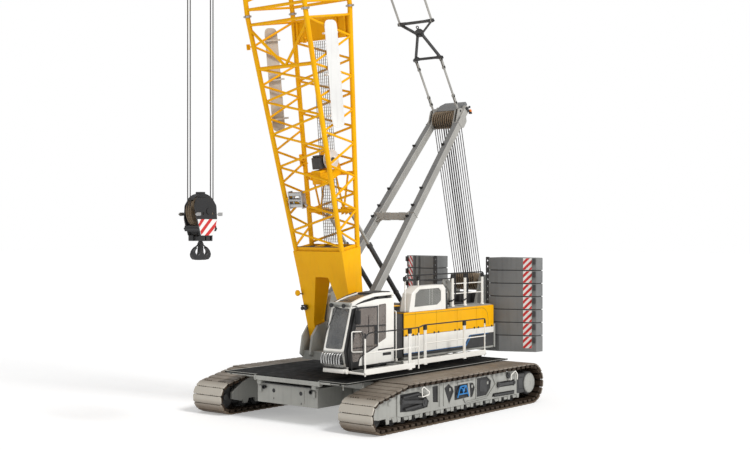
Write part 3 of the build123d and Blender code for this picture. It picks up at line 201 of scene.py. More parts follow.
def cutPlate(outline, low, high, plane="XZ", holes=(), edge=0.003, bend=0, rings=0):
    # A flat plate from an outline, with holes, extruded between two planes
    shape = bpy.data.curves.new("plate", "CURVE")
    shape.dimensions = "2D"
    shape.fill_mode = "BOTH"
    thickness = high - low
    shape.extrude = thickness / 2 - edge
    shape.bevel_depth = edge
    shape.bevel_resolution = rings
    shape.offset = -edge
    for loop in [outline] + list(holes):
        if bend:
            closed = [(*loop[-1], 0)] + [(*spot, 0) for spot in loop] + [(*loop[0], 0)]
            loop = [(spot.x, spot.y) for spot in roundedPath(closed, bend)[1:-1]]
        line = shape.splines.new("POLY")
        line.points.add(len(loop) - 1)
        for point, (across, up) in zip(line.points, loop):
            point.co = (across, up, 0, 1)
        line.use_cyclic_u = True
    piece = bpy.data.objects.new("plate", shape)
    bpy.context.collection.objects.link(piece)
    choose(piece)
    bpy.ops.object.convert(target="MESH")
    piece = bpy.context.object
    middle = (low + high) / 2
    turns = {
        "XY": Matrix(((1, 0, 0, 0), (0, 1, 0, 0), (0, 0, 1, middle), (0, 0, 0, 1))),
        "XZ": Matrix(((1, 0, 0, 0), (0, 0, 1, middle), (0, 1, 0, 0), (0, 0, 0, 1))),
        "YZ": Matrix(((0, 0, 1, middle), (1, 0, 0, 0), (0, 1, 0, 0), (0, 0, 0, 1))),
    }
    settle(piece, turns[plane])
    return finishMesh(piece)


def circle(x, z, radius, steps=20):
    return [(x + radius * cos(2 * pi * n / steps), z + radius * sin(2 * pi * n / steps)) for n in range(steps)]


def turned(profile, centre, axis="Y", steps=32):
    # A closed profile of (along, radius) points spun about an axis
    mesh = bpy.data.meshes.new("turned")
    spots = [(radius, 0, along) for along, radius in profile]
    sides = [(n, (n + 1) % len(spots)) for n in range(len(spots))]
    mesh.from_pydata(spots, sides, [])
    piece = bpy.data.objects.new("turned", mesh)
    bpy.context.collection.objects.link(piece)
    choose(piece)
    bpy.ops.object.mode_set(mode="EDIT")
    bpy.ops.mesh.select_all(action="SELECT")
    bpy.ops.mesh.spin(steps=steps, angle=2 * pi, center=(0, 0, 0), axis=(0, 0, 1))
    bpy.ops.object.mode_set(mode="OBJECT")
    turns = {"Z": Matrix.Identity(4), "Y": Matrix.Rotation(-pi / 2, 4, "X"), "X": Matrix.Rotation(pi / 2, 4, "Y")}
    settle(piece, Matrix.Translation(centre) @ turns[axis])
    return finishMesh(piece)


# Finishes. Each is built from noise in the piece's own space, so nothing depends on the camera
def node(tree, kind, inputs=None, **settings):
    made = tree.nodes.new("ShaderNode" + kind)
    for key, value in settings.items():
        setattr(made, key, value)
    for key, value in (inputs or {}).items():
        if isinstance(value, bpy.types.NodeSocket):
            tree.links.new(value, made.inputs[key])
        else:
            made.inputs[key].default_value = value
    return made


def rgb(red, green, blue):
    # A colour as a picture shows it, made linear
    return tuple(
        (part / 255 / 12.92) if part < 11 else ((part / 255 + 0.055) / 1.055) ** 2.4 for part in (red, green, blue)
    ) + (1,)


def maths(tree, kind, first, second=0.0, third=0.0):
    return node(tree, "Math", {0: first, 1: second, 2: third}, operation=kind).outputs[0]


def mixed(tree, amount, first, second):
    return node(tree, "MixRGB", {"Fac": amount, "Color1": first, "Color2": second}).outputs[0]


def noise(tree, place, scale, detail=3.0, stretch=None):
    if stretch:
        place = node(tree, "Mapping", {"Vector": place, "Scale": stretch}).outputs[0]
    return node(tree, "TexNoise", {"Vector": place, "Scale": scale, "Detail": detail}).outputs["Fac"]


def between(tree, value, low, high, fromLow=0.0, fromHigh=1.0):
    sockets = {"Value": value, "From Min": fromLow, "From Max": fromHigh, "To Min": low, "To Max": high}
    return node(tree, "MapRange", sockets).outputs["Result"]


def startFinish(name):
    material = bpy.data.materials.new(name)
    material.use_nodes = True
    tree = material.node_tree
    tree.nodes.clear()
    shader = node(tree, "BsdfPrincipled")
    output = node(tree, "OutputMaterial")
    tree.links.new(shader.outputs[0], output.inputs["Surface"])
    return material, tree, shader, node(tree, "TexCoord").outputs["Object"]


def paint(
    name, tone, shade, dirtAndShade=(58, 52, 46), cornerShade=0.45, streaks=0.25, roughness=0.4, metal=0.0, coat=0.0, grain=140,
    bump=0.04, gloss=0.5
):
    # Painted or bare metal: patchy tone, downward dirt streaks, painted shade in the corners from an occlusion mask,
    # speckled with noise, and a fine grain
    material, tree, shader, place = startFinish(name)
    patches = between(tree, noise(tree, place, 0.9, 4), 0, 1, 0.35, 0.7)
    colour = mixed(tree, patches, rgb(*tone), rgb(*shade))
    runs = between(tree, noise(tree, place, 1.0, 3, (11, 11, 0.7)), 0, streaks, 0.52, 0.75)
    colour = mixed(tree, runs, colour, rgb(*dirtAndShade))
    # Painted shade: the occlusion mask darkens corners and creases towards the dirt colour
    corners = node(tree, "AmbientOcclusion", {"Distance": 0.16}, samples=4).outputs["AO"]
    speckledShade = maths(
        tree, "MULTIPLY", between(tree, corners, cornerShade, 0, 0.35, 0.95),
        between(tree, noise(tree, place, 7, 5), 0.55, 1.2, 0.3, 0.7)
    )
    colour = mixed(tree, speckledShade, colour, rgb(*dirtAndShade))
    tree.links.new(colour, shader.inputs["Base Color"])
    fine = noise(tree, place, grain, 2)
    tree.links.new(
        between(tree, noise(tree, place, 5, 4), roughness - 0.08, roughness + 0.14, 0.3, 0.7),
        shader.inputs["Roughness"]
    )
    shader.inputs["Metallic"].default_value = metal
    shader.inputs["Specular IOR Level"].default_value = gloss
    shader.inputs["Coat Weight"].default_value = coat
    shader.inputs["Coat Roughness"].default_value = 0.15
    relief = node(tree, "Bump", {"Height": fine, "Strength": bump, "Distance": 0.01})
    tree.links.new(relief.outputs[0], shader.inputs["Normal"])
    return material


finishes = {
    "boomYellow": paint(
        "boomYellow", (250, 186, 0), (242, 172, 0), cornerShade=0.3, streaks=0.06, roughness=0.42, gloss=0.15
    ),
    "houseYellow": paint(
        "houseYellow", (253, 188, 4), (250, 180, 0), cornerShade=0.2, streaks=0.05, roughness=0.4, gloss=0.2
    ),
    "whitePaint": paint(
        "whitePaint", (250, 248, 241), (242, 238, 229), cornerShade=0.22, streaks=0.05, roughness=0.35, coat=0.2
    ),
    "lightGrey": paint("lightGrey", (168, 168, 162), (154, 154, 148), cornerShade=0.4, streaks=0.15, roughness=0.5),
    "mastGrey": paint("mastGrey", (172, 170, 164), (152, 150, 145), cornerShade=0.35, streaks=0.12, roughness=0.45),
    "darkGrey": paint(
        "darkGrey", (70, 70, 70), (54, 54, 55), dirtAndShade=(38, 34, 30), cornerShade=0.4, streaks=0.2, roughness=0.55
    ),
    "ballastGrey": paint(
        "ballastGrey", (128, 129, 128), (114, 115, 115), dirtAndShade=(60, 58, 56), cornerShade=0.45, streaks=0.2, roughness=0.6
    ),
    "trackSteel": paint(
        "trackSteel", (122, 113, 103), (96, 86, 76), dirtAndShade=(54, 42, 28), cornerShade=0.8, streaks=0.3, roughness=0.55,
        metal=0.35, grain=60, bump=0.12
    ),
    "deckBlack": paint(
        "deckBlack", (30, 30, 30), (22, 22, 23), dirtAndShade=(42, 38, 34), cornerShade=0.3, streaks=0.1, roughness=0.7,
        gloss=0.15
    ),
    "linkBrown": paint(
        "linkBrown", (66, 50, 34), (46, 34, 22), dirtAndShade=(26, 18, 12), cornerShade=0.7, streaks=0.2, roughness=0.65,
        metal=0.2, grain=60, bump=0.15
    ),
    "blackPaint": paint(
        "blackPaint", (34, 34, 35), (26, 26, 27), dirtAndShade=(48, 44, 40), cornerShade=0.3, streaks=0.15, roughness=0.42
    ),
    "sheaveBrown": paint(
        "sheaveBrown", (150, 134, 112), (124, 106, 84), dirtAndShade=(70, 50, 34), cornerShade=0.4, streaks=0.1, roughness=0.5,
        metal=0.15
    ),
    "hookBlack": paint(
        "hookBlack", (40, 40, 41), (30, 30, 31), dirtAndShade=(60, 54, 48), cornerShade=0.35, streaks=0.15, roughness=0.4
    ),
    "ropeSteel": paint(
        "ropeSteel", (74, 72, 70), (52, 50, 49), dirtAndShade=(28, 26, 24), cornerShade=0.2, streaks=0.3, roughness=0.5,
        metal=0.6, grain=90, bump=0.3
    ),
    "brightSteel": paint(
        "brightSteel", (196, 196, 194), (170, 170, 170), cornerShade=0.3, streaks=0.1, roughness=0.28, metal=0.85
    ),
    "seatCloth": paint(
        "seatCloth", (62, 62, 66), (48, 48, 52), cornerShade=0.3, streaks=0.0, roughness=0.8, grain=300, bump=0.2
    ),
    "signRed": paint("signRed", (206, 44, 40), (190, 34, 34), cornerShade=0.2, streaks=0.08, roughness=0.45),
    "signWhite": paint("signWhite", (240, 239, 236), (228, 227, 224), cornerShade=0.2, streaks=0.1, roughness=0.45),
    "signBeige": paint("signBeige", (206, 200, 190), (190, 184, 174), cornerShade=0.2, streaks=0.1, roughness=0.45),
    "beaconOrange": paint(
        "beaconOrange", (250, 140, 20), (236, 118, 8), cornerShade=0.1, streaks=0.0, roughness=0.25, coat=0.5
    ),
    "pipeBlue": paint("pipeBlue", (38, 128, 196), (28, 108, 172), cornerShade=0.3, streaks=0.1, roughness=0.4),
}


def shoeFinish(name):
    # Worn plates: brown above, a painted highlight at the front end where the light falls, and darker brown towards
    # the bottom
    made = paint(
        name, (146, 136, 124), (118, 107, 94), dirtAndShade=(54, 42, 28), cornerShade=0.8, streaks=0.25, roughness=0.5, metal=0.2,
        grain=60, bump=0.12
    )
    tree = made.node_tree
    shader = next(item for item in tree.nodes if item.type == "BSDF_PRINCIPLED")
    colour = shader.inputs["Base Color"].links[0].from_socket
    place = node(tree, "TexCoord").outputs["Object"]
    axes = node(tree, "SeparateXYZ", {"Vector": place})
    # Painted highlight: the front end of the loop is lightened as if lit from the front
    frontHighlight = maths(
        tree, "MULTIPLY", between(tree, axes.outputs["X"], 0, 1, 4.0, 4.3),
        between(tree, axes.outputs["Z"], 0, 0.75, 0.2, 0.45)
    )
    colour = mixed(tree, frontHighlight, colour, rgb(208, 202, 190))
    # Darker brown towards the bottom
    lowerDarkening = between(tree, axes.outputs["Z"], 0.7, 0, 0.1, 0.5)
    tree.links.new(mixed(tree, lowerDarkening, colour, rgb(84, 64, 40)), shader.inputs["Base Color"])
    return made


finishes["shoeSteel"] = shoeFinish("shoeSteel")


def glassFinish(name, tint, roughness=0.04):
    material, tree, shader, place = startFinish(name)
    dust = between(tree, noise(tree, place, 2.2, 5), 0, 0.35, 0.4, 0.75)
    tree.links.new(mixed(tree, dust, rgb(*tint), rgb(150, 146, 138)), shader.inputs["Base Color"])
    tree.links.new(between(tree, dust, roughness, roughness + 0.1, 0, 0.35), shader.inputs["Roughness"])
    tree.links.new(between(tree, dust, 0.55, 0.7, 0, 0.35), shader.inputs["Alpha"])
    shader.inputs["IOR"].default_value = 1.5
    return material


finishes["cabGlass"] = glassFinish("cabGlass", (58, 60, 62))
finishes["screenGlass"] = glassFinish("screenGlass", (112, 114, 116))
finishes["doorGlass"] = glassFinish("doorGlass", (138, 128, 121))
slotFinish = {
    "boom_yellow": "boomYellow", "house_yellow": "houseYellow", "white_paint": "whitePaint", "light_grey": "lightGrey",
    "mast_grey": "mastGrey", "dark_grey": "darkGrey", "cw_grey": "ballastGrey", "track_steel": "trackSteel",
    "black_paint": "blackPaint", "rope_steel": "ropeSteel", "sheave_brown": "sheaveBrown", "hook_black": "hookBlack",
    "cab_glass": "cabGlass", "seat_cloth": "seatCloth",
}
finishSlot = {finish: slot for slot, finish in slotFinish.items()}
finishSlot.update(
    brightSteel="light_grey", signRed="cw_grey", signWhite="white_paint", signBeige="mast_grey", beaconOrange="boom_yellow",
    pipeBlue="dark_grey", deckBlack="dark_grey", linkBrown="track_steel", shoeSteel="track_steel",
    screenGlass="cab_glass", doorGlass="cab_glass",
)


def place(piece, body, finish, *replaced):
    # Gives a new piece its finish, its body and the node that it stands for
    piece.data.materials.clear()
    piece.data.materials.append(finishes[finish])
    for face in piece.data.polygons:
        face.material_index = 0
    if body:
        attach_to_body(piece, body)
    if replaced:
        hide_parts(*replaced)
    return piece


def attach(name, parts, body, finish, *replaced):
    return place(merged(name, parts), body, finish, *replaced)


def install(name, parts, body, finish, *replaced):
    # As attach, with doubles merged, normals outward and smooth shading
    return place(finishMesh(merged(name, parts)), body, finish, *replaced)


def placeBoth(left, name, body, finish, hidden=None):
    # A left piece and its mirror image, with the nodes that they stand for
    right = mirroredCopy(left, name + "Right")
    for piece, ending in ((left, "_left"), (right, "_right")):
        place(piece, body, finish, *([hidden + ending] if hidden else []))


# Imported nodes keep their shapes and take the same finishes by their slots
for name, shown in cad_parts.items():
    for slot in shown.material_slots:
        packed = slot.material.name.split(".")[0] if slot.material else ""
        slot.material = finishes["deckBlack" if name == "deck_plate" else slotFinish.get(packed, "lightGrey")]
print("finishes ready")


# Camera, light and floor
cameraSizes = {"place": (29.465, 23.884, 5.717), "heading": 128.974, "lens": 57.85}
bpy.ops.object.camera_add(location=cameraSizes["place"], rotation=(pi / 2, 0, radians(cameraSizes["heading"])))
camera = bpy.context.object
camera.data.sensor_width = 36
camera.data.lens = cameraSizes["lens"]
camera.data.clip_end = 500
bpy.context.scene.camera = camera
bpy.context.scene.view_settings.view_transform = "Standard"

lightSizes = {
    "sunPower": 1.9, "sunAngle": 16, "skyPower": 0.52, "backdrop": 1.0, "floorGlow": 0.3, "floorTone": 0.8
}
bpy.ops.object.light_add(type="SUN", location=(10, 20, 30))
sun = bpy.context.object
sun.data.energy = lightSizes["sunPower"]
sun.data.angle = radians(lightSizes["sunAngle"])
sun.rotation_euler = Vector((0.12, 0.80, 0.78)).to_track_quat("Z", "Y").to_euler()
world = bpy.data.worlds.new("studio")
bpy.context.scene.world = world
world.use_nodes = True
world.node_tree.nodes.clear()
seen = node(world.node_tree, "LightPath").outputs["Is Camera Ray"]
power = between(world.node_tree, seen, lightSizes["skyPower"], lightSizes["backdrop"])
studio = node(world.node_tree, "Background", {"Color": (1, 1, 1, 1), "Strength": power})
node(world.node_tree, "OutputWorld", {"Surface": studio.outputs[0]})

clearSelection()
bpy.ops.mesh.primitive_plane_add(size=400, location=(0, 0, -0.004))
floor = bpy.context.object
floor.name = "studioFloor"
bake(floor)
floorFinish = bpy.data.materials.new("studioFloor")
floorFinish.use_nodes = True
floorTree = floorFinish.node_tree
floorTree.nodes.clear()
glow = node(floorTree, "Emission", {"Color": (1, 1, 1, 1), "Strength": lightSizes["floorGlow"]})
matt = node(floorTree, "BsdfDiffuse", {"Color": (lightSizes["floorTone"],) * 3 + (1,)})
both = node(floorTree, "AddShader", {0: glow.outputs[0], 1: matt.outputs[0]})
node(floorTree, "OutputMaterial", {"Surface": both.outputs[0]})
floor.data.materials.append(floorFinish)
print("camera, light and floor ready")


# Tracks: one shoe is modelled, and copied round the same loop as in the part
trackSizes = {
    "gauge": 5.824, "width": 1.2, "frontX": 3.93, "frontRadius": 0.505, "rearX": -3.787, "rearRadius": 0.645,
    "slopeX": 2.72, "shoes": 71, "plateHalf": 0.119, "plateDeep": 0.052, "linkHalf": 0.082, "deep": 0.14, "arcLift": 0.0105,
}


def loopPlace(distance):
    # Point and travel direction on the ground face of the loop
    t = trackSizes
    dx, dz = t["frontX"] - t["slopeX"], t["frontRadius"] - 2 * t["rearRadius"]
    slope = atan2(dz, dx) + asin(t["frontRadius"] / hypot(dx, dz))
    slopeLength = sqrt(dx**2 + dz**2 - t["frontRadius"] ** 2)
    bottom, frontArc = t["frontX"] - t["rearX"], (pi + slope) * t["frontRadius"]
    top, rearArc = t["slopeX"] - t["rearX"], pi * t["rearRadius"]
    total = bottom + frontArc + slopeLength + top + rearArc
    if distance is None:
        return total
    distance %= total
    if distance <= bottom:
        return t["rearX"] + distance, 0, 0
    distance -= bottom
    if distance <= frontArc:
        turn = distance / t["frontRadius"]
        return t["frontX"] + t["frontRadius"] * sin(turn), t["frontRadius"] * (1 - cos(turn)), turn
    distance -= frontArc
    if distance <= slopeLength:
        left = slopeLength - distance
        return t["slopeX"] + left * cos(slope), 2 * t["rearRadius"] + left * sin(slope), pi + slope
    distance -= slopeLength
    if distance <= top:
        return t["slopeX"] - distance, 2 * t["rearRadius"], pi
    turn = pi + (distance - top) / t["rearRadius"]
    return t["rearX"] + t["rearRadius"] * sin(turn), t["rearRadius"] * (1 - cos(turn)), turn


def trackShoe():
    # Local x is the way of travel, y across and z into the loop
    half, wide = trackSizes["plateHalf"], trackSizes["width"] / 2
    cut = 0.035
    outline = [
        (-half, -wide + cut), (-half + cut, -wide), (half - cut, -wide), (half, -wide + cut),
        (half, wide - cut), (half - cut, wide), (-half + cut, wide), (-half, wide - cut),
    ]
    plates = [cutPlate(outline, 0.004, trackSizes["plateDeep"], "XY", edge=0.009)]
    parts = []
    link = trackSizes["linkHalf"]
    for side in (-1, 1):
        parts.append(block((-link, side * 0.36 - 0.2, 0.05), (link, side * 0.36 + 0.2, trackSizes["deep"]), 0.008))
        for number in range(4):
            y = side * 0.30 + (number - 1.5) * 0.085
            parts.append(block((half - 0.015, y - 0.02, 0.02), (half + 0.045, y + 0.02, 0.1), 0))
            parts.append(block((-half - 0.03, y + 0.022, 0.03), (-half + 0.01, y + 0.05, 0.1), 0))
        for number in range(3):
            y = side * 0.3 + (number - 1) * 0.075
            plates.append(tube((-0.045, y, 0.0015), (-0.045, y, 0.006), 0.014, 6))
    parts.append(block((-link, -0.11, 0.05), (link, 0.11, 0.12), 0.008))
    return merged("shoe", plates), merged("link", parts)


shoe, link = trackShoe()
pitch = loopPlace(None) / trackSizes["shoes"]
for side, ending, nodeName in ((1, "Left", "track_left"), (-1, "Right", "track_right")):
    shoes, links = [], []
    for number in range(trackSizes["shoes"]):
        x, z, turn = loopPlace((number + 0.5) * pitch)
        inward = trackSizes["arcLift"] if turn % pi else 0.0
        spot = Matrix.Translation((x, side * trackSizes["gauge"] / 2, z)) @ Matrix.Rotation(-turn, 4, "Y")
        turnPlace = spot @ Matrix.Translation((0, 0, inward))
        shoes.append(copied(shoe, turnPlace))
        links.append(copied(link, turnPlace))
    install("trackShoes" + ending, shoes, "undercarriage", "shoeSteel", nodeName)
    install("trackLinks" + ending, links, "undercarriage", "linkBrown", nodeName)
discard(shoe, link)
print("tracks ready")


# Boom lattice: local x forward, y across, z along the boom from the foot pin
boomSizes = {
    "angle": 79.9, "pinX": 1.75, "pinZ": 2.25, "chord": 0.074, "lace": 0.036, "boxTop": 2.8, "buttEnd": 9.87,
    "midEnd": 15.7, "taper": 19.5, "headEnd": 24.4,
}
lean = radians(boomSizes["angle"])
boomPlace = Matrix((
    (sin(lean), 0, cos(lean), boomSizes["pinX"]), (0, 1, 0, 0), (
        -cos(lean), 0, sin(lean), boomSizes["pinZ"]
    ), (0, 0, 0, 1),
))


def chordAt(u, side, front):
    full = min(u, boomSizes["buttEnd"])
    y = 0.8175 + 0.0326 * full
    v = 0.135 + 0.0866 * full if front else -0.095 - 0.0892 * full
    if u > boomSizes["taper"]:
        share = (u - boomSizes["taper"]) / (boomSizes["headEnd"] - boomSizes["taper"])
        y += (0.6 - y) * share
        v += ((0.62 if front else -0.2) - v) * share
    return Vector((v, side * y, u))


def onBoom(name, parts, finish, *replaced):
    return place(settle(merged(name, parts), boomPlace), "boom", finish, *replaced)


def boomBar(first, last, radius=None, sides=8):
    return tube(chordAt(*first), chordAt(*last), radius or boomSizes["lace"], sides)


def boomSection(name, breaks, zigzag, frames):
    # Four chords between the breaks, a zigzag on each face and square frames
    parts = []
    for side in (1, -1):
        for front in (True, False):
            for low, high in zip(breaks, breaks[1:]):
                parts.append(boomBar((low, side, front), (high, side, front), boomSizes["chord"], 14))
    for number, (low, high) in enumerate(zip(zigzag, zigzag[1:])):
        flip = 1 if number % 2 == 0 else -1
        parts.append(boomBar((low, flip, True), (high, -flip, True)))
        parts.append(boomBar((low, -flip, False), (high, flip, False)))
        parts.append(boomBar((low, 1, flip < 0), (high, 1, flip > 0)))
        parts.append(boomBar((low, -1, flip > 0), (high, -1, flip < 0)))
    for u in frames:
        for front in (True, False):
            parts.append(boomBar((u, -1, front), (u, 1, front), 0.048, 10))
        for side in (1, -1):
            parts.append(boomBar((u, side, True), (u, side, False)))
    made = merged(name, parts)
    settle(made, boomPlace)
    return finishMesh(made)


def evenly(low, high, count):
    return [low + (high - low) * number / count for number in range(count + 1)]


buttSizes = {
    "firstU": 2.93, "lastU": 8.33, "bays": 11, "frameU": 9.62, "braceU": 9.5, "sideU": 9.0, "topU": 9.84,
    "sillU": 3.88, "beamU": 5.0
}
butt = boomSection(
    "boomButtTubes", [boomSizes["boxTop"], buttSizes["topU"]], evenly(
        buttSizes["firstU"], buttSizes["lastU"], buttSizes["bays"]
    ), [buttSizes["frameU"]]
)
barEnds = [chordAt(buttSizes["lastU"], side, True) for side in (-1, 1)]
braces = [tube(*barEnds, 0.055, 12)]
centre = (barEnds[0] + barEnds[1]) / 2
for side in (-1, 1):
    braces.append(tube(centre, chordAt(buttSizes["braceU"], side, True), 0.045, 10))
    lowNode, midNode, topNode = (buttSizes["lastU"], side, side > 0), (buttSizes["sideU"], side, side < 0), (
        buttSizes["frameU"], side, side > 0
    )
    braces += [boomBar(lowNode, midNode), boomBar(midNode, topNode)]
braces.append(boomBar((buttSizes["lastU"], 1, False), (buttSizes["sideU"], -1, False)))
for u in (buttSizes["beamU"], buttSizes["sillU"]):
    braces.append(boomBar((u, -1, False), (u, 1, False), 0.06, 10))
for y in (-0.46, 0.46):
    low = Vector((-0.44, y, buttSizes["sillU"]))
    for high in [Vector((-0.54, y + shift, buttSizes["beamU"])) for shift in (-0.25, 0.25)]:
        braces.append(tube(low, high, 0.032, 8))
braces = settle(merged("boomButtBraces", braces), boomPlace)
butt = merged("boomButtTubes", [butt, finishMesh(braces)])
place(butt, "boom", "boomYellow", "boom_butt")
middleSizes = {"breaks": [9.9, 15.62], "firstU": 10.3, "lastU": 15.2, "bays": 10, "frames": [10.06, 15.5]}
t = middleSizes
middle = boomSection("boomMiddleTubes", t["breaks"], evenly(t["firstU"], t["lastU"], t["bays"]), t["frames"])
place(middle, "boom", "boomYellow", "boom_mid")


# Eyes that take the backstops, then the pins between the sections
eyeSizes = {"u": 3.88, "rearV": -0.441, "back": 0.24, "ys": (0.385, 0.535)}
eyes = []
for y in eyeSizes["ys"]:
    for side in (-1, 1):
        u, v, reach = eyeSizes["u"], eyeSizes["rearV"], eyeSizes["back"]
        outline = [
            (v + 0.03, u - 0.12), (v - reach - 0.05, u - 0.06), (v - reach - 0.08, u), (v - reach - 0.05, u + 0.06),
            (v + 0.03, u + 0.12)
        ]
        eyes.append(cutPlate(outline, side * y - 0.012, side * y + 0.012))
onBoom("backstopEyes", eyes, "boomYellow")

jointSizes = {"us": (boomSizes["buttEnd"], boomSizes["midEnd"]), "ring": 0.098, "pin": 0.03}
pins = []
for u in jointSizes["us"]:
    for side in (-1, 1):
        for front in (True, False):
            v, y, _ = chordAt(u, side, front)
            pins.append(tube((v, y, u - 0.03), (v, y, u + 0.03), jointSizes["ring"], 20))
            pins.append(tube((v - 0.14, y, u), (v + 0.14, y, u), jointSizes["pin"], 10))
            pins.append(tube((v, y - 0.14, u), (v, y + 0.14, u), jointSizes["pin"], 10))
place(finishMesh(settle(merged("sectionPins", pins), boomPlace)), "boom", "brightSteel")


# Things carried by the lowest boom section
signSizes = {"lowU": 6.42, "highU": 9.5, "lowV": 0.19, "highV": 0.03, "width": 0.54, "y": 1.185}
for side, name, finish in ((1, "boomSignNear", "signWhite"), (-1, "boomSignFar", "signBeige")):
    t = signSizes
    low, high, half = Vector((t["lowV"], t["lowU"])), Vector((t["highV"], t["highU"])), t["width"] / 2
    way = (high - low).normalized() * half
    across = Vector((way.y, -way.x))
    outline = [low - across, low + across, high + across, high - across]
    plateSign = cutPlate([tuple(spot) for spot in outline], side * t["y"] - 0.007, side * t["y"] + 0.007, bend=0.2)
    holders = [plateSign]
    for share in (0.12, 0.5, 0.88):
        spot = low.lerp(high, share)
        reach = chordAt(spot.y, side, True).y
        holders.append(
            block(
                (spot.x - 0.3, min(side * t["y"], reach * 0.985), spot.y - 0.025),
                (spot.x + 0.3, max(side * t["y"], reach * 0.985), spot.y + 0.025), 0.003
            )
        )
    onBoom(name, holders, finish)

walkSizes = {"lowU": 2.95, "highU": 8.95, "half": 0.3, "lift": 0.09, "bars": 64, "wires": 9}
bars = []
for number in range(walkSizes["bars"] + 1):
    u = walkSizes["lowU"] + (walkSizes["highU"] - walkSizes["lowU"]) * number / walkSizes["bars"]
    v = chordAt(u, 1, False).x + walkSizes["lift"]
    bars.append(block((v - 0.014, -walkSizes["half"], u - 0.0045), (v + 0.014, walkSizes["half"], u + 0.0045), 0))
for number in range(walkSizes["wires"]):
    y = walkSizes["half"] * (2 * number / (walkSizes["wires"] - 1) - 1)
    ends = [(chordAt(u, 1, False).x + walkSizes["lift"], y, u) for u in (walkSizes["lowU"], walkSizes["highU"])]
    bars.append(flatBar(*ends, 0.008, 0.026, edge=0))
onBoom("boomWalkway", bars, "lightGrey")

rearPlateSizes = {"lowU": 8.98, "highU": 9.6, "width": 2.16, "ribs": (-0.95, -0.62, 0.62, 0.95)}
lowU, highU = rearPlateSizes["lowU"], rearPlateSizes["highU"]
lowV, highV = chordAt(lowU, 1, False).x, chordAt(highU, 1, False).x
rearPlate = [flatBar((lowV, 0, lowU), (highV, 0, highU), rearPlateSizes["width"], 0.02)]
for y in rearPlateSizes["ribs"]:
    rearPlate.append(flatBar((lowV + 0.04, y, lowU), (highV + 0.04, y, highU), 0.05, 0.07))
onBoom("boomRearPlate", rearPlate, "boomYellow")

reelSizes = {"u": 5.48, "v": -0.02, "y": 0.56, "radius": 0.29}
t = reelSizes
reel = turned(
    [
        (-0.05, 0.04), (-0.05, t["radius"]), (-0.035, t["radius"]), (-0.03, 0.2), (0.03, 0.2), (0.035, t["radius"]),
        (0.05, t["radius"]), (0.05, 0.04)
    ],
    (t["v"], t["y"], t["u"]),
)
onBoom("reelDisc", [reel], "signWhite")
winchBox = [
    block((0.08, 0.12, 5.24), (0.36, 0.44, 5.58), 0.01), crossPin(t["v"], t["u"], 0.06, 0.42, 0.66),
    block((0.12, 0.14, 5.58), (0.32, 0.42, 5.64), 0.01),
]
onBoom("boomWinchMotor", winchBox, "darkGrey")
winchFrame = [
    cutPlate(
        [
            (-0.5, 5.0), (-0.02, 4.85), (0.46, 4.95), (0.46, 5.1), (0.05, 5.15), (-0.1, 5.7), (-0.3, 5.7),
            (-0.5, 5.2)
        ],
        y - 0.012, y + 0.012
    )
    for y in (0.1, 0.48)
] + [block((0.04, 0.11, 4.8), (0.42, 0.47, 5.2), 0.012), block((-0.52, 0.11, 4.95), (-0.3, 0.47, 5.1), 0.01)]
onBoom("boomWinchFrame", winchFrame, "boomYellow")

guideSizes = {
    "ends": (-0.72, -0.22), "u": 4.38, "lowU": 4.12, "highU": 4.64, "rollers": (0.47, 0.6),
    "uprights": (-0.6, -0.34), "outY": -0.9,
}
s = guideSizes
guideParts = [block((0.45, -0.74, u), (0.62, -0.2, u + 0.1), 0.01) for u in (4.16, 4.5)]
for y in s["ends"]:
    guideParts.append(block((0.43, y - 0.02, s["lowU"]), (0.64, y + 0.02, s["highU"]), 0.012))
for v in s["rollers"]:
    guideParts.append(tube((v, s["ends"][0], s["u"]), (v, s["ends"][1], s["u"]), 0.045, 16))
for y in s["uprights"]:
    guideParts.append(tube((0.535, y, 4.2), (0.535, y, 4.56), 0.04, 16))
guideParts.append(flatBar((0.5, s["outY"], s["u"]), (0.5, s["ends"][0], s["u"]), 0.05, 0.05, (0, 0, 1)))
guideParts.append(flatBar((0.56, -0.2, 4.3), (0.62, -0.02, 4.2), 0.04, 0.05, (0, 0, 1)))
onBoom("ropeGuide", guideParts, "brightSteel")

lugSizes = {"spots": ((-1.3, 0.87, 9.0), (0.93, 0.87, 9.0), (-0.95, -0.45, 5.55), (-0.95, -0.45, 5.35))}
lugs = []
for y, v, u in lugSizes["spots"]:
    lugs.append(tube((v, y - 0.06, u), (v, y + 0.2 if y > 0 else y + 0.18, u), 0.022, 10))
    lugs.append(block((v - 0.07, y - 0.09, u - 0.085), (v + 0.07, y - 0.05, u + 0.085), 0.01))
onBoom("boomLugs", lugs, "boomYellow")
print("boom fittings ready")


# Counterweight: slabs with broken edges and dark joints, lugs, guide bars and warning stripes
slabSizes = {
    "baseHigh": 1.995, "slab": 0.4375, "count": 6, "gap": 0.022, "inner": 1.17, "front": -4.75,
    "cornerY": 1.58, "outerX": -5.26, "outerY": 2.72, "back": -5.63,
}


def slabOutline(inset, innerY):
    t = slabSizes
    return [
        (t["front"] - inset, innerY + inset), (t["front"] - inset, t["cornerY"] - inset * 0.4),
        (t["outerX"] - inset, t["outerY"] - inset * 0.6), (t["outerX"] - 0.06, t["outerY"] + 0.03 - inset),
        (t["back"] + inset, t["outerY"] + 0.03 - inset), (t["back"] + inset, innerY + inset),
    ]


def slabStack():
    t = slabSizes
    slabs, cores = [], []
    for number in range(t["count"]):
        low = t["baseHigh"] + number * t["slab"]
        slabs.append(
            cutPlate(slabOutline(0, t["inner"]), low + t["gap"], low + t["slab"] - 0.002, "XY", edge=0.012)
        )
        cores.append(cutPlate(slabOutline(0.03, t["inner"]), low, low + t["gap"] + 0.01, "XY", edge=0.002))
    return merged("slabs", slabs), merged("cores", cores)


def onSlant(share, lift=0.0):
    # A point on the slanted front face of a stack, in plan
    t = slabSizes
    start, end = Vector((t["front"], t["cornerY"])), Vector((t["outerX"], t["outerY"]))
    out = Vector((end.y - start.y, start.x - end.x)).normalized()
    return start.lerp(end, share) + out * lift


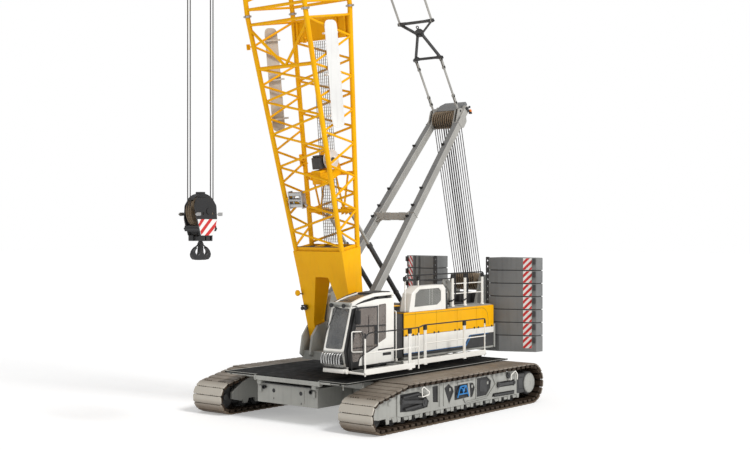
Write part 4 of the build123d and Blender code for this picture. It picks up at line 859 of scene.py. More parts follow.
def stripePiece(lowShare, highShare, low, high, bands):
    # Slanting red bands on a plate that lies on the slanted face
    pieces = []
    start, end = onSlant(lowShare, 0.0065), onSlant(highShare, 0.0065)
    width, tall = (end - start).length, high - low
    way = (end - start).normalized()
    turn = Matrix(((way.x, 0, way.y, start.x), (way.y, 0, -way.x, start.y), (0, 1, 0, low), (0, 0, 0, 1)))
    step = (width + tall) / bands
    for number in range(bands):
        first, last = number * step, number * step + step * 0.5
        corners = []
        for line in (first, last):
            lower = (line, 0) if line <= width else (width, line - width)
            upper = (0, line) if line <= tall else (line - tall, tall)
            corners.append((lower, upper))
        (a, b), (c, d) = corners
        shape = [a, c, d, b]
        if first < width < last:
            shape.insert(1, (width, 0))
        if first < tall < last:
            shape.insert(-1, (0, tall))
        clean = [spot for n, spot in enumerate(shape) if spot != shape[n - 1]]
        if len(clean) > 2:
            clean = [(width - across, up) for across, up in clean]
            pieces.append(settle(cutPlate(clean, -0.001, 0.0015, "XY", edge=0.0004), turn))
    return merged("stripes", pieces)


slabs, cores = slabStack()
t = slabSizes
fittings, stripes, backs = [], [], []
for number in range(-1, t["count"]):
    low = t["baseHigh"] + number * t["slab"] + 0.03
    high = low + t["slab"] - 0.045
    fittings.append(cutPlate(
        [
            tuple(onSlant(0.915, 0.0)), tuple(onSlant(0.915, 0.07)), tuple(onSlant(0.985, 0.07)),
            tuple(onSlant(0.985, 0.0))
        ],
        low + 0.19, high - 0.02, "XY", edge=0.006,
    ))
    backs.append(cutPlate(
        [
            tuple(onSlant(0.65, -0.002)), tuple(onSlant(0.65, 0.0055)), tuple(onSlant(0.885, 0.0055)),
            tuple(onSlant(0.885, -0.002))
        ],
        low, high, "XY", edge=0.001,
    ))
    stripes.append(stripePiece(0.652, 0.883, low + 0.004, high - 0.004, 3))
    bar = [(1.03, low - 0.03), (1.165, low - 0.03), (1.165, high + 0.03), (1.03, high + 0.03)]
    if number >= 0:
        fittings.append(
            cutPlate(
                bar, t["front"] - 0.06, t["front"] - 0.02, "YZ",
                [circle(1.095, (low + high) / 2 + s, 0.034, 12) for s in (-0.1, 0.1)], 0.003
            )
        )
top = t["baseHigh"] + t["count"] * t["slab"]
for share in (0.12, 0.9):
    spot = onSlant(share, -0.1)
    fittings.append(
        cutPlate(
            [
                (spot.x - 0.08, top - 0.004), (spot.x - 0.06, top - 0.001), (spot.x + 0.06, top - 0.001),
                (spot.x + 0.08, top - 0.004)
            ],
            spot.y - 0.02, spot.y + 0.02, edge=0.0005
        )
    )
near = {
    "slabs": (slabs, "ballastGrey"), "slabJoints": (cores, "blackPaint"),
    "slabLugs": (merged("fittings", fittings), "darkGrey"), "stripeBacks": (merged("backs", backs), "signWhite"),
    "stripes": (merged("stripes", stripes), "signRed"),
}
for name, (piece, finish) in near.items():
    piece.name = name + "Left"
    placeBoth(piece, name, "upperworks", finish, "counterweight" if name == "slabs" else None)
channels = []
for share in (0.25, 0.52):
    for number in range(t["count"]):
        low = t["baseHigh"] + number * t["slab"] + t["gap"] + 0.004
        ends = [
            onSlant(share - 0.045, -0.002), onSlant(share - 0.045, 0.012), onSlant(share + 0.045, 0.012),
            onSlant(share + 0.045, -0.002)
        ]
        channels.append(
            cutPlate([(spot.x, -spot.y) for spot in ends], low, low + t["slab"] - 0.03, "XY", edge=0.002)
        )
attach("slabChannelsRight", channels, "upperworks", "darkGrey")
print("counterweight ready")


# House covers: doors in two colours with gaps, a dark base and a thin blue edge
houseSizes = {
    "front": 0.395, "rear": -4.55, "seams": (-0.19, -1.285, -2.42, -3.52), "y": 1.5, "inner": 0.66, "low": 1.8,
    "step": 2.12, "stepX": -3.0, "split": 2.322, "top": 3.04, "door": 0.03, "gap": 0.005,
}
t = houseSizes
xs = [t["front"]] + list(t["seams"]) + [t["rear"]]
yellow, white, dark, blue, latches = [], [], [], [], []
for first, last in zip(xs, xs[1:]):
    high, low = first - t["gap"], last + t["gap"]
    yellow.append(
        block((low, t["y"] - t["door"], t["split"] + t["gap"]), (high, t["y"], t["top"] - 0.012), 0.007, 2)
    )
    bottom = t["low"] if first > t["stepX"] - 0.1 else t["step"]
    outline = [(high, t["split"] - t["gap"]), (high, bottom), (low, bottom), (low, t["split"] - t["gap"])]
    if first > t["stepX"] > last:
        outline = [
            (high, t["split"] - t["gap"]), (high, t["low"]), (t["stepX"] + 0.2, t["low"]),
            (t["stepX"] - 0.12, t["step"]), (low, t["step"]), (low, t["split"] - t["gap"])
        ]
    white.append(cutPlate(outline, t["y"] - t["door"], t["y"], edge=0.006))
    for x in (high - 0.1, low + 0.12):
        latches.append(
            block(
                (x - 0.035, t["y"] - 0.004, t["split"] - 0.01), (x + 0.035, t["y"] + 0.012, t["split"] + 0.05),
                0.005
            )
        )
yellow.append(
    block(
        (t["rear"] + 0.02, t["inner"] + 0.02, t["top"] - 0.03), (t["front"] - 0.02, t["y"] - 0.01, t["top"]), 0.008
    )
)
yellow.append(block((t["rear"], t["inner"], t["split"]), (t["rear"] + 0.03, t["y"], t["top"] - 0.012), 0.007))
dark.append(block((t["front"] - 0.05, t["inner"], t["low"]), (t["front"], t["y"] - 0.032, t["top"] - 0.03), 0.006))
dark.append(
    block(
        (t["rear"] + 0.04, t["inner"], t["low"] + 0.3), (t["front"] - 0.06, t["inner"] + 0.03, t["top"] - 0.03),
        0.004
    )
)
white.append(block((t["rear"], t["inner"], t["step"]), (t["rear"] + 0.03, t["y"], t["split"] - 0.005), 0.005))
base = [
    (t["front"] - 0.02, 1.69), (t["front"] - 0.02, t["low"] - 0.02), (t["stepX"] + 0.19, t["low"] - 0.02),
    (t["stepX"] - 0.13, t["step"] - 0.02), (t["rear"] + 0.02, t["step"] - 0.02), (t["rear"] + 0.02, 1.69)
]
dark.append(cutPlate(base, t["y"] - 0.06, t["y"] - 0.015, edge=0.004))
for x in (0.2, -0.6, -1.4, -2.2, -2.8, -3.6, -4.3):
    dark.append(block((x - 0.03, t["y"] - 0.2, 1.69), (x + 0.03, t["y"] - 0.05, 2.0), 0.004))
line = [
    (t["front"] - 0.02, 0, t["low"] - 0.012), (t["stepX"] + 0.195, 0, t["low"] - 0.012),
    (t["stepX"] - 0.125, 0, t["step"] - 0.012), (t["rear"] + 0.3, 0, t["step"] - 0.012)
]
for first, last in zip(line, line[1:]):
    ends = [Vector(spot) + Vector((0, t["y"] - 0.012, 0)) for spot in (first, last)]
    blue.append(flatBar(*ends, 0.018, 0.014, edge=0.002))
blue.append(
    flatBar(
        (t["stepX"] + 0.14, t["y"] - 0.008, t["low"] - 0.06), (t["stepX"] - 0.2, t["y"] - 0.008, t["step"] - 0.05),
        0.01, 0.05, edge=0.002
    )
)
for name, parts, finish in (
    (
        "houseDoorsUpper", yellow, "houseYellow"
    ), ("houseDoorsLower", white, "whitePaint"), ("houseBase", dark, "darkGrey"),
    ("houseLine", blue, "pipeBlue"), ("houseLatches", latches, "blackPaint"),
):
    hidden = "house" if name == "houseDoorsUpper" else None
    placeBoth(merged(name + "Left", parts), name, "upperworks", finish, hidden)
print("house ready")


# Ropes: round bars with many rings, so that they follow both ends smoothly
def ropeRun(start, end, radius, pieces=12):
    start, end = Vector(start), Vector(end)
    runs = []
    for number in range(pieces):
        low, high = start.lerp(end, number / pieces), start.lerp(end, (number + 1) / pieces)
        runs.append(tube(low, high, radius, 8, capped=False))
    return runs


hoistSizes = {"highZ": 26.8, "splitZ": 15.5, "lowZ": 6.08, "nearX": 6.95, "farX": 7.77, "y": 0.05, "radius": 0.014}
for name, top, bottom, bodies, hidden in (
    ("hoistRopesHigh", "highZ", "splitZ", ("hoist_high", "hoist_low"), "hoist_falls_high"),
    ("hoistRopesLow", "splitZ", "lowZ", ("hoist_low", "hook_block"), "hoist_falls_low"),
):
    runs = []
    for x in (hoistSizes["nearX"], hoistSizes["farX"]):
        for y in (hoistSizes["y"], -hoistSizes["y"]):
            runs += ropeRun((x, y, hoistSizes[top]), (x, y, hoistSizes[bottom]), hoistSizes["radius"])
    ropes = finishMesh(merged(name, runs), 60)
    place(ropes, None, "ropeSteel", hidden)
    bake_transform(ropes)
print("ropes ready")

# Mast: two box legs and a cross beam, and a head with cheeks, a bent cover and a lamp
mastSizes = {
    "foot": (1.2, 0.82, 3.41), "head": (-3.95, 0.55, 9.29), "wide": 0.22, "deep": 0.25, "beam": 0.44, "tip": 0.56
}
mastFoot, mastHead = Vector(mastSizes["foot"]), Vector(mastSizes["head"])
legWay = Vector((mastHead.x - mastFoot.x, 0, mastHead.z - mastFoot.z)).normalized()
legUp = Vector((legWay.z, 0, -legWay.x))


def onLeg(share, side, up=0.0, inward=0.0):
    spot = mastFoot.lerp(mastHead, share)
    return Vector((spot.x, side * (spot.y - inward), spot.z)) + legUp * up


legs, clamps, tops = [], [], []
cheek = [(-3.62, 9.04), (-3.75, 9.52), (-3.79, 9.62), (-3.96, 9.67), (-4.21, 9.49), (-4.28, 9.23), (-4.10, 8.99)]
for side in (1, -1):
    t = mastSizes
    legs.append(flatBar(onLeg(0.0, side), onLeg(1.0, side), t["wide"], t["deep"], edge=0.014))
    legs.append(flatBar(onLeg(0.985, side), onLeg(1.0, side) + legWay * t["tip"], 0.19, 0.24, edge=0.03))
    for share in (0.445, 0.962):
        legs.append(
            flatBar(
                onLeg(share, side), onLeg(share + 0.0028, side), t["wide"] + 0.024, t["deep"] + 0.024, edge=0.002
            )
        )
    inner, outer = span(side, 0.70, 0.94)
    legs.append(crossPin(t["foot"][0], t["foot"][2], 0.19, inner, outer, 32))
    for y in (0.43, 0.555):
        legs.append(cutPlate(cheek, *span(side, y, y + 0.035), edge=0.004, bend=0.06))
    # A thin strip along the top face of each leg, in a darker grey: painted shade on the lit top
    tops.append(
        flatBar(
            onLeg(0.01, side, t["deep"] / 2), onLeg(0.998, side, t["deep"] / 2), t["wide"] - 0.024, 0.006,
            edge=0.001
        )
    )
    legs.append(
        flatBar(onLeg(t["beam"] - 0.03, side, 0, 0.1), onLeg(t["beam"], side, 0, 0.3), 0.2, 0.03, (1, 0, 0))
    )
    legs.append(
        flatBar(onLeg(t["beam"] + 0.03, side, 0, 0.1), onLeg(t["beam"], side, 0, 0.3), 0.2, 0.03, (1, 0, 0))
    )
    for share in (0.425, 0.485, 0.58, 0.83):
        foot = onLeg(share, side, 0.13, 0.06 * side)
        clamps.append(flatBar(foot, foot + legUp * 0.035, 0.1, 0.07))
        clamps.append(
            tube(
                foot + Vector((0, -0.05, 0)) + legUp * 0.045, foot + Vector((0, 0.05, 0)) + legUp * 0.045, 0.022, 10
            )
        )
    for x, z, radius in ((-4.18, 9.66, 0.055), (-4.27, 9.58, 0.045), (-4.33, 9.72, 0.04)):
        clamps.append(crossPin(x, z, radius, *span(side, 0.64, 0.68), 16))
beamEnds = [onLeg(mastSizes["beam"], side, 0, 0.05) for side in (-1, 1)]
legs.append(flatBar(*beamEnds, 0.3, 0.24, (1, 0, 0), edge=0.012))
for y in (-0.3, 0.3):
    spot = onLeg(mastSizes["beam"], 1)
    legs.append(
        block((spot.x - 0.158, y - 0.012, spot.z - 0.13), (spot.x + 0.158, y + 0.012, spot.z + 0.13), 0.003)
    )
install("mastLegs", legs, "mast", "mastGrey", "mast_frame")
for side in (1, -1):
    clamps.append(crossPin(-3.9, 9.56, 0.032, *span(side, 0.42, 0.61), 14))
    clamps.append(crossPin(1.2, 3.41, 0.08, *span(side, 0.93, 0.955), 20))
attach("mastClamps", clamps, "mast", "blackPaint")
# The leg-top strips are painted shade in a darker grey
attach("mastLegTopShade", tops, "mast", "ballastGrey")
hood = [
    (-3.925, 9.6), (-4.13, 9.80), (-4.45, 9.92), (-4.53, 9.85), (-4.47, 9.66), (-4.45, 9.66), (-4.508, 9.845),
    (-4.445, 9.898), (-4.14, 9.782), (-3.94, 9.588)
]
hoodEnd = [
    (-3.93, 9.594), (-4.13, 9.79), (-4.445, 9.905), (-4.515, 9.845), (-4.455, 9.66), (-4.2, 9.45), (-4.0, 9.5)
]
hoodSizes = {"half": 0.43, "cheek": 0.014}
s = hoodSizes
hoodParts = [cutPlate(hood, -s["half"], s["half"], edge=0.002)]
for y in (-s["half"] - s["cheek"], s["half"]):
    hoodParts.append(cutPlate(hoodEnd, y, y + s["cheek"], edge=0.002, bend=0.02))
install("mastHood", hoodParts, "mast", "ballastGrey")
beaconSizes = {
    "x": -4.48, "y": 0.6, "z": 9.57, "radius": 0.05,
    "dome": [(0, 0.0005), (0, 0.046), (0.05, 0.044), (0.078, 0.032), (0.09, 0.0005)],
}
s = beaconSizes
beaconSpot = (s["x"], s["y"], s["z"])
lamp = [
    block((-4.53, 0.56, 9.5), (-4.43, 0.64, 9.54), 0.004), tube((s["x"], s["y"], 9.54), beaconSpot, s["radius"], 18)
]
attach("mastLampFoot", lamp, "mast", "blackPaint")
dome = turned(s["dome"], beaconSpot, "Z", 20)
attach("mastLamp", [dome], "mast", "beaconOrange")


# Luffing tackle: two rows of sheaves, the falls between them and the turns round each row
tackleSizes = {
    "rim": 0.3, "groove": 0.25, "half": 0.41, "pitch": 0.09, "rope": 0.0145, "low": (-5.26, 3.76),
    "high": (-3.95, 9.29)
}
t = tackleSizes
profile = [(-t["half"], 0.066), (-t["half"], t["rim"])]
for number in range(-4, 5):
    y = number * t["pitch"]
    profile += [(y - 0.037, t["rim"]), (y - 0.018, t["groove"]), (y + 0.018, t["groove"]), (y + 0.037, t["rim"])]
profile += [(t["half"], t["rim"]), (t["half"], 0.066)]
lowSpot, highSpot = Vector((t["low"][0], 0, t["low"][1])), Vector((t["high"][0], 0, t["high"][1]))
attach("tackleSheavesHigh", [turned(profile, highSpot, steps=40)], "mast_sheaves", "sheaveBrown", "mast_sheaves")
attach("tackleSheavesLow", [turned(profile, lowSpot, steps=40)], "falls", "sheaveBrown", "falls_sheaves")
fallWay = (highSpot - lowSpot).normalized()
fallSide = Vector((fallWay.z, 0, -fallWay.x))
reach = t["groove"] + t["rope"]
for spot, name, body, over in ((highSpot, "ropeTurnsHigh", "falls_top", 1), (lowSpot, "ropeTurnsLow", "falls", -1)):
    around = [
        spot + fallSide * (reach * cos(pi * n / 18)) + fallWay * (
            over * reach * sin(pi * n / 18)
        ) for n in range(19)
    ]
    arc = pipe([(p.x, 0, p.z) for p in around], t["rope"], 0.02, 1)
    turnsOver = [copied(arc, Matrix.Translation((0, number * t["pitch"], 0))) for number in range(-4, 5)]
    discard(arc)
    place(finishMesh(merged(name, turnsOver), 60), body, "ropeSteel")
runs = []
for number in range(-4, 5):
    for side in (1, -1):
        shift = fallSide * (side * reach) + Vector((0, number * t["pitch"], 0))
        runs += ropeRun(lowSpot + shift, highSpot + shift, t["rope"], 10)
falls = finishMesh(merged("luffingRopes", runs), 60)
place(falls, None, "ropeSteel", "luffing_falls", "luffing_falls_top")
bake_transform(falls)
print("mast and tackle ready")


# Pendants in their own frame: local z runs from the mast head to the boom, y across
pendantSizes = {
    "start": (-3.9, 0, 9.56), "end": (4.691, 0, 23.666), "y": 0.51, "upperY": 0.65, "low": 1.95, "mid": 2.95,
    "high": 3.25, "length": 16.516
}
t = pendantSizes
pendantWay = (Vector(t["end"]) - Vector(t["start"])).normalized()
pendantPlace = Matrix((
    (pendantWay.z, 0, pendantWay.x, t["start"][0]), (0, 1, 0, 0), (
        -pendantWay.x, 0, pendantWay.z, t["start"][2]
    ), (0, 0, 0, 1),
))


def pendantLink(low, high, y, plates, pins):
    # A bar or a pair of bars with round eyes, and the pin at its upper end
    made = []
    offsets = (0,) if plates == 1 else (-0.023, 0.023)
    thick = 0.015 if plates == 1 else 0.009
    for shift in offsets:
        made.append(flatBar((0, y + shift, low), (0, y + shift, high), 2 * thick, 0.084, edge=0.003))
        for z in (low, high):
            made.append(tube((0, y + shift - thick, z), (0, y + shift + thick, z), 0.062, 20))
    pins.append(tube((0, y - 0.045, high), (0, y + 0.045, high), 0.028, 12))
    return made


links, upperLinks, pins, yoke = [], [], [], []
for side in (1, -1):
    y = side * t["y"]
    for low, high, plates in ((0.0, 0.3, 1), (0.3, 0.58, 2), (0.58, 1.62, 1), (1.62, t["low"] - 0.02, 2)):
        links += pendantLink(low, high, y, plates, pins)
    stops = evenly(t["high"] + 0.05, t["length"] - 0.05, 4)
    for number, (low, high) in enumerate(zip(stops, stops[1:])):
        upperLinks += pendantLink(low, high, side * t["upperY"], 1 + number % 2, pins)
    middle = 0.045 * side
    yoke.append(flatBar((0, y, t["low"] + 0.04), (0, middle, t["mid"]), 0.06, 0.1, edge=0.006))
    yoke.append(
        flatBar((0, middle, t["mid"] - 0.1), (0, side * t["upperY"], t["high"] + 0.04), 0.06, 0.1, edge=0.006)
    )
    for shift in (-0.04, 0.026):
        outline = [
            (y - 0.1 * side, t["low"] + 0.13), (y + 0.09 * side, t["low"] + 0.07),
            (y + 0.09 * side, t["low"] - 0.02), (y - 0.22 * side, t["low"] + 0.02)
        ]
        yoke.append(cutPlate(outline, shift, shift + 0.014, "YZ", edge=0.002))
        outline = [
            (side * 0.56, t["high"] - 0.03), (side * 0.74, t["high"]), (side * 0.72, t["high"] + 0.1),
            (side * 0.4, t["high"] + 0.09)
        ]
        yoke.append(cutPlate(outline, shift, shift + 0.014, "YZ", edge=0.002))
        centre = [
            (-0.13, t["mid"] - 0.16), (0.13, t["mid"] - 0.16), (0.16, t["mid"] + 0.02), (0.07, t["mid"] + 0.1),
            (-0.07, t["mid"] + 0.1), (-0.16, t["mid"] + 0.02)
        ]
        if side > 0:
            yoke.append(
                cutPlate(
                    centre, shift - 0.01, shift + 0.024, "YZ", [circle(0, t["mid"] - 0.04, 0.04, 14)], 0.003, 0.03
                )
            )
yoke.append(tube((0, -t["y"] - 0.06, t["low"] + 0.05), (0, t["y"] + 0.06, t["low"] + 0.05), 0.045, 16))
yoke.append(tube((0, -t["upperY"] - 0.06, t["high"] + 0.045), (0, t["upperY"] + 0.06, t["high"] + 0.045), 0.05, 16))
ring = turned(
    [(-0.012, 0.034), (-0.012, 0.058), (0.012, 0.058), (0.012, 0.034)], (0.0, 0.0, t["mid"] + 0.17), "X", 20
)
yoke.append(ring)
yoke.append(flatBar((0, 0, t["mid"] + 0.06), (0, 0, t["mid"] + 0.13), 0.03, 0.05))
for name, parts, finish, hidden in (
    ("pendantLinks", links, "mastGrey", ["pendants_low"]), (
        "pendantLinksHigh", upperLinks, "mastGrey", ["pendants_high"]
    ),
    ("pendantYoke", yoke, "darkGrey", ["spreader_yoke"]), ("pendantPins", pins, "darkGrey", []),
):
    place(finishMesh(settle(merged(name, parts), pendantPlace)), "pendants", finish, *hidden)


# Backstops: a hollow tube with collars, and a rod with an eye
stopSizes = {
    "foot": (-0.9, 3.2), "top": (1.760, 6.189), "y": 0.46, "tube": 2.6, "radius": 0.075, "rod": 0.05, "bore": 0.054
}
t = stopSizes
stopWay = Vector((t["top"][0] - t["foot"][0], 0, t["top"][1] - t["foot"][1]))
stopLength = stopWay.length
stopWay.normalize()
tubes, rods = [], []
for side in (1, -1):
    stopPlace = Matrix((
        (stopWay.z, 0, stopWay.x, t["foot"][0]), (0, 1, 0, side * t["y"]), (
            -stopWay.x, 0, stopWay.z, t["foot"][1]
        ), (0, 0, 0, 1),
    ))
    radius = t["radius"]
    shell = [
        (0.12, t["bore"]), (0.12, 0.06), (0.16, radius), (0.5, radius), (0.51, radius + 0.012),
        (0.56, radius + 0.012), (0.57, radius), (t["tube"] - 0.14, radius), (t["tube"] - 0.13, radius + 0.016),
        (t["tube"] - 0.01, radius + 0.016), (t["tube"], radius), (t["tube"], t["bore"]),
    ]
    parts = [turned(shell, (0, 0, 0), "Z", 28), block((-0.045, -0.045, 0.06), (0.045, 0.045, 0.2), 0.008)]
    parts.append(tube((0, -0.07, 0), (0, 0.07, 0), 0.085, 24))
    tubes.append(settle(merged("stopTube", parts), stopPlace))
    parts = [
        tube((0, 0, 0.56), (0, 0, stopLength - 0.04), t["rod"], 20),
        tube((0, -0.03, stopLength), (0, 0.03, stopLength), 0.06, 24)
    ]
    parts.append(
        turned(
            [(0, 0.0005), (0, 0.064), (0.09, 0.064), (0.12, 0.05), (0.12, 0.0005)], (0, 0, stopLength - 0.2), "Z",
            20
        )
    )
    rods.append(settle(merged("stopRod", parts), stopPlace))
install("backstopTubes", tubes, "backstop_tubes", "darkGrey", "backstop_tubes")
install("backstopRods", rods, "backstop_rods", "lightGrey", "backstop_rods")
print("pendants and backstops ready")


# Hook block: two cheeks with warning bands, a cover over the sheaves, and a double hook with catches
blockSizes = {"x": 7.36, "z": 6.08, "inner": 0.29, "outer": 0.325, "y": 0.05}
t = blockSizes
cheekLeft = [
    (7.225, 6.43), (7.08, 6.236), (7.055, 5.88), (7.206, 5.43), (7.64, 5.43), (7.784, 5.88), (7.86, 6.216),
    (7.80, 6.43)
]
cheekRight = [(2 * t["x"] - x, z) for x, z in cheekLeft]
holes = [circle(x, 6.02, 0.03, 12) for x in (7.2, 7.55)]
body = [
    cutPlate(cheekLeft, t["inner"], t["outer"], holes=holes, edge=0.005, bend=0.03),
    cutPlate(cheekRight, -t["outer"], -t["inner"], edge=0.005, bend=0.03)
]
cover = []
for n in range(13):
    angle = radians(40 + 100 / 12 * n)
    cover.append((t["x"] + 0.475 * cos(angle), t["z"] + 0.475 * sin(angle)))
cover += [
    (x, z - 0.014) for x,
    z in [
        (
            t["x"] + 0.462 * cos(radians(140 - 100 / 12 * n)), t["z"] + 0.476 * sin(radians(140 - 100 / 12 * n))
        ) for n in range(13)
    ]
]
body.append(cutPlate(cover, -0.12, 0.12, edge=0.002))
body.append(block((7.27, -0.1, 6.53), (7.45, 0.1, 6.6), 0.012))
for y in (-0.132, 0.12):
    body.append(
        cutPlate(
            [(7.03, 6.33), (7.15, 6.5), (7.36, 6.57), (7.57, 6.5), (7.69, 6.33), (7.5, 6.24), (7.22, 6.24)], y,
            y + 0.012, edge=0.002, bend=0.05
        )
    )
body.append(block((7.24, -0.3, 5.3), (7.3, 0.3, 5.42), 0.01))
body.append(block((7.42, -0.3, 5.3), (7.48, 0.3, 5.42), 0.01))
for y in (-0.3, 0.11):
    body.append(block((7.19, y, 5.29), (7.53, y + 0.19, 5.45), 0.014))
for x in (7.08, 7.64):
    body.append(tube((x, -0.31, 5.62), (x, 0.31, 5.62), 0.035, 16))
    body.append(block((x - 0.02, -0.3, 5.55), (x + 0.02, 0.3, 5.7), 0.006))
body.append(crossPin(t["x"], t["z"], 0.05, -0.3, 0.3, 24))
body += [crossPin(t["x"], t["z"], 0.085, *span(side, 0.324, 0.345), 24) for side in (1, -1)]
install("hookBlockBody", body, "hook_block", "hookBlack", "hook_block")
clips = []
for side in (1, -1):
    for x in (6.97, 7.75):
        clips.append(
            cutPlate(
                [(x - 0.1, 5.965), (x + 0.04, 5.955), (x + 0.1, 6.0), (x + 0.04, 6.05), (x - 0.1, 6.05)],
                *span(side, 0.325, 0.34), edge=0.004
            )
        )
install("hookBlockClips", clips, "hook_block", "brightSteel")
warnings, bands = [], []
bandOutlines = (
    [(7.64, 5.87), (7.513, 5.87), (7.694, 5.66), (7.73, 5.738)], [
        (7.351, 5.87), (7.224, 5.87), (7.631, 5.453), (7.667, 5.557)
    ],
    [(7.071, 5.84), (7.125, 5.66), (7.369, 5.44), (7.513, 5.44)],
)
for side in (1, -1):
    turnedWay = [(1 - side) * t["x"], side]  # the far cheek carries the same sign turned round
    for outlines, made, low, high in (
        ([[(7.062, 5.87), (7.206, 5.44), (7.64, 5.44), (7.766, 5.87)]], warnings, 0.325, 0.328),
        (bandOutlines, bands, 0.3275, 0.3295)
    ):
        for outline in outlines:
            spots = [(turnedWay[0] + turnedWay[1] * x, z) for x, z in outline]
            made.append(cutPlate(spots, *span(side, low, high), edge=0.0004))
attach("hookBlockSigns", warnings, "hook_block", "signWhite")
attach("hookBlockBands", bands, "hook_block", "signRed")


def fallSheaves(x, z, bore):
    profile = [
        (-0.04, bore), (-0.04, 0.11), (-0.016, 0.12), (-0.014, 0.35), (-0.036, 0.39), (-0.04, 0.445),
        (-0.03, 0.445), (-0.013, 0.396)
    ]
    profile += [(-y, radius) for y, radius in reversed(profile)]
    made = []
    for y in (-blockSizes["y"], blockSizes["y"]):
        wheel = turned(profile, (x, y, z), steps=48)
        made.append(wheel)
        for n in range(8):
            angle = 2 * pi * n / 8
            made.append(crossPin(x + 0.23 * cos(angle), z + 0.23 * sin(angle), 0.035, y - 0.02, y + 0.02, 12))
    return made


install("hookSheaves", fallSheaves(t["x"], t["z"], 0.051), "hook_sheaves", "sheaveBrown", "hook_sheaves")
install("headSheaves", fallSheaves(7.36, 26.847, 0.066), "head_sheaves", "sheaveBrown", "head_sheaves")
half = [
    (0.05, 5.27), (0.053, 5.17), (0.063, 5.108), (0.072, 4.993), (0.099, 4.93), (0.143, 4.905),
    (0.19, 4.935), (0.221, 4.993), (0.208, 5.05), (0.158, 5.10), (0.181, 5.135), (0.239, 5.10),
    (0.305, 5.03), (0.341, 4.94), (0.323, 4.865), (0.257, 4.80), (0.142, 4.783),
]
outline = [(t["x"] + x, z) for x, z in half] + [(t["x"] - x, z) for x, z in reversed(half)]
hookSizes = {"half": 0.06, "edge": 0.014, "shank": 0.055, "shankLow": 5.2, "shankHigh": 5.47}
s = hookSizes
hook = [
    cutPlate(outline, -s["half"], s["half"], edge=s["edge"]), tube(
        (t["x"], 0, s["shankLow"]), (t["x"], 0, s["shankHigh"]), s["shank"], 24
    ),
    turned([(0, 0.0005), (0, 0.095), (0.05, 0.095), (0.06, 0.085), (0.06, 0.0005)], (t["x"], 0, 5.452), "Z", 6),
]
for side in (1, -1):
    hook.append(flatBar((t["x"] + side * 0.05, 0, 5.21), (t["x"] + side * 0.2, 0, 5.115), 0.05, 0.022, edge=0.004))
    hook.append(tube((t["x"] + side * 0.05, -0.05, 5.21), (t["x"] + side * 0.05, 0.05, 5.21), 0.022, 12))
install("doubleHook", hook, "hook", "hookBlack", "hook")
print("hook block ready")


# Cab: rounded openings, a white frame, dark glass, a black sliding door and the things round it
cabSizes = {
    "rear": 1.4, "right": 1.16, "left": 1.9, "toe": (3.6, 1.71), "nose": (3.72, 2.16), "brow": (3.34, 3.40), "wall": 0.035,
    "screenEdge": 0.055,
}
t = cabSizes


def slopePlace(low, high):
    # Local x across the machine, y up the slope and z outward, from the lower point
    way = (Vector((high[0], 0, high[1])) - Vector((low[0], 0, low[1]))).normalized()
    return Matrix(((0, way.x, way.z, low[0]), (1, 0, 0, 0), (0, way.z, -way.x, low[1]), (0, 0, 0, 1)))


def slopeLength(low, high):
    return hypot(high[0] - low[0], high[1] - low[1])


def bored(plate, *outlines, low=0.0, high=0.0, plane="XZ", bend=0.05):
    # Cuts rounded openings through a plate
    for outline in outlines:
        hole = cutPlate(outline, low - 0.02, high + 0.02, plane, edge=0.0005, bend=bend)
        choose(plate)
        cut = plate.modifiers.new("opening", "BOOLEAN")
        cut.object = hole
        cut.solver = "EXACT"
        bpy.ops.object.modifier_apply(modifier=cut.name)
        discard(hole)
    return plate


def frameRing(low, high, edge, thickness, bend):
    # A flat ring on a sloping face, and the pane that fills it
    length = slopeLength(low, high)
    outer = [(t["right"], 0), (t["left"], 0), (t["left"], length), (t["right"], length)]
    inner = [
        (t["right"] + edge, edge), (t["left"] - edge, edge), (t["left"] - edge, length - edge),
        (t["right"] + edge, length - edge)
    ]
    ring = bored(cutPlate(outer, -thickness, 0, "XY", edge=0.006), inner, low=-thickness, plane="XY", bend=bend)
    pane = cutPlate(inner, -thickness * 0.6, -thickness * 0.3, "XY", edge=0.002, bend=bend)
    spot = slopePlace(low, high)
    return settle(ring, spot), settle(pane, spot)


cabWall = [
    (1.4, 1.66), (3.56, 1.66), t["toe"], t["nose"], (3.36, 3.36), (3.2, 3.42), (2.9, 3.475), (2.2, 3.56),
    (1.4, 3.57)
]
doorHole = [(2.26, 1.76), (3.44, 1.76), (3.50, 2.16), (3.15, 3.31), (2.26, 3.31)]
quarterHole = [(1.77, 2.40), (2.13, 2.27), (2.13, 3.40), (1.77, 3.42)]
rightHole = [(1.6, 2.3), (3.45, 2.3), (3.16, 3.26), (1.6, 3.3)]
backHole = [(1.28, 2.45), (1.78, 2.45), (1.78, 3.35), (1.28, 3.35)]
shell = []
low, high = t["left"] - t["wall"], t["left"]
shell.append(bored(cutPlate(cabWall, low, high, edge=0.006), doorHole, quarterHole, low=low, high=high))
low, high = t["right"], t["right"] + t["wall"]
shell.append(bored(cutPlate(cabWall, low, high, edge=0.006), rightHole, low=low, high=high))
low, high = t["rear"], t["rear"] + t["wall"]
rearWall = [(t["right"] + 0.01, 1.66), (t["left"] - 0.01, 1.66), (t["left"] - 0.01, 3.6), (t["right"] + 0.01, 3.6)]
shell.append(bored(cutPlate(rearWall, low, high, "YZ", edge=0.004), backHole, low=low, high=high, plane="YZ"))
screenRing, screenPane = frameRing(t["nose"], t["brow"], t["screenEdge"], 0.03, 0.07)
footRing, footPane = frameRing(t["toe"], t["nose"], 0.05, 0.03, 0.04)
shell += [screenRing, footRing]
roofTop = [(3.31, 3.50), (3.05, 3.58), (2.8, 3.645), (2.27, 3.735), (1.9, 3.745), (1.5, 3.735), (1.4, 3.70)]
roofLow = [(1.4, 3.62), (1.5, 3.655), (2.27, 3.64), (2.8, 3.55), (3.1, 3.47), (3.28, 3.38), (3.33, 3.36)]
for low in (1.80, 1.165):
    shell.append(cutPlate(roofTop + roofLow, low, low + 0.1, edge=0.012))
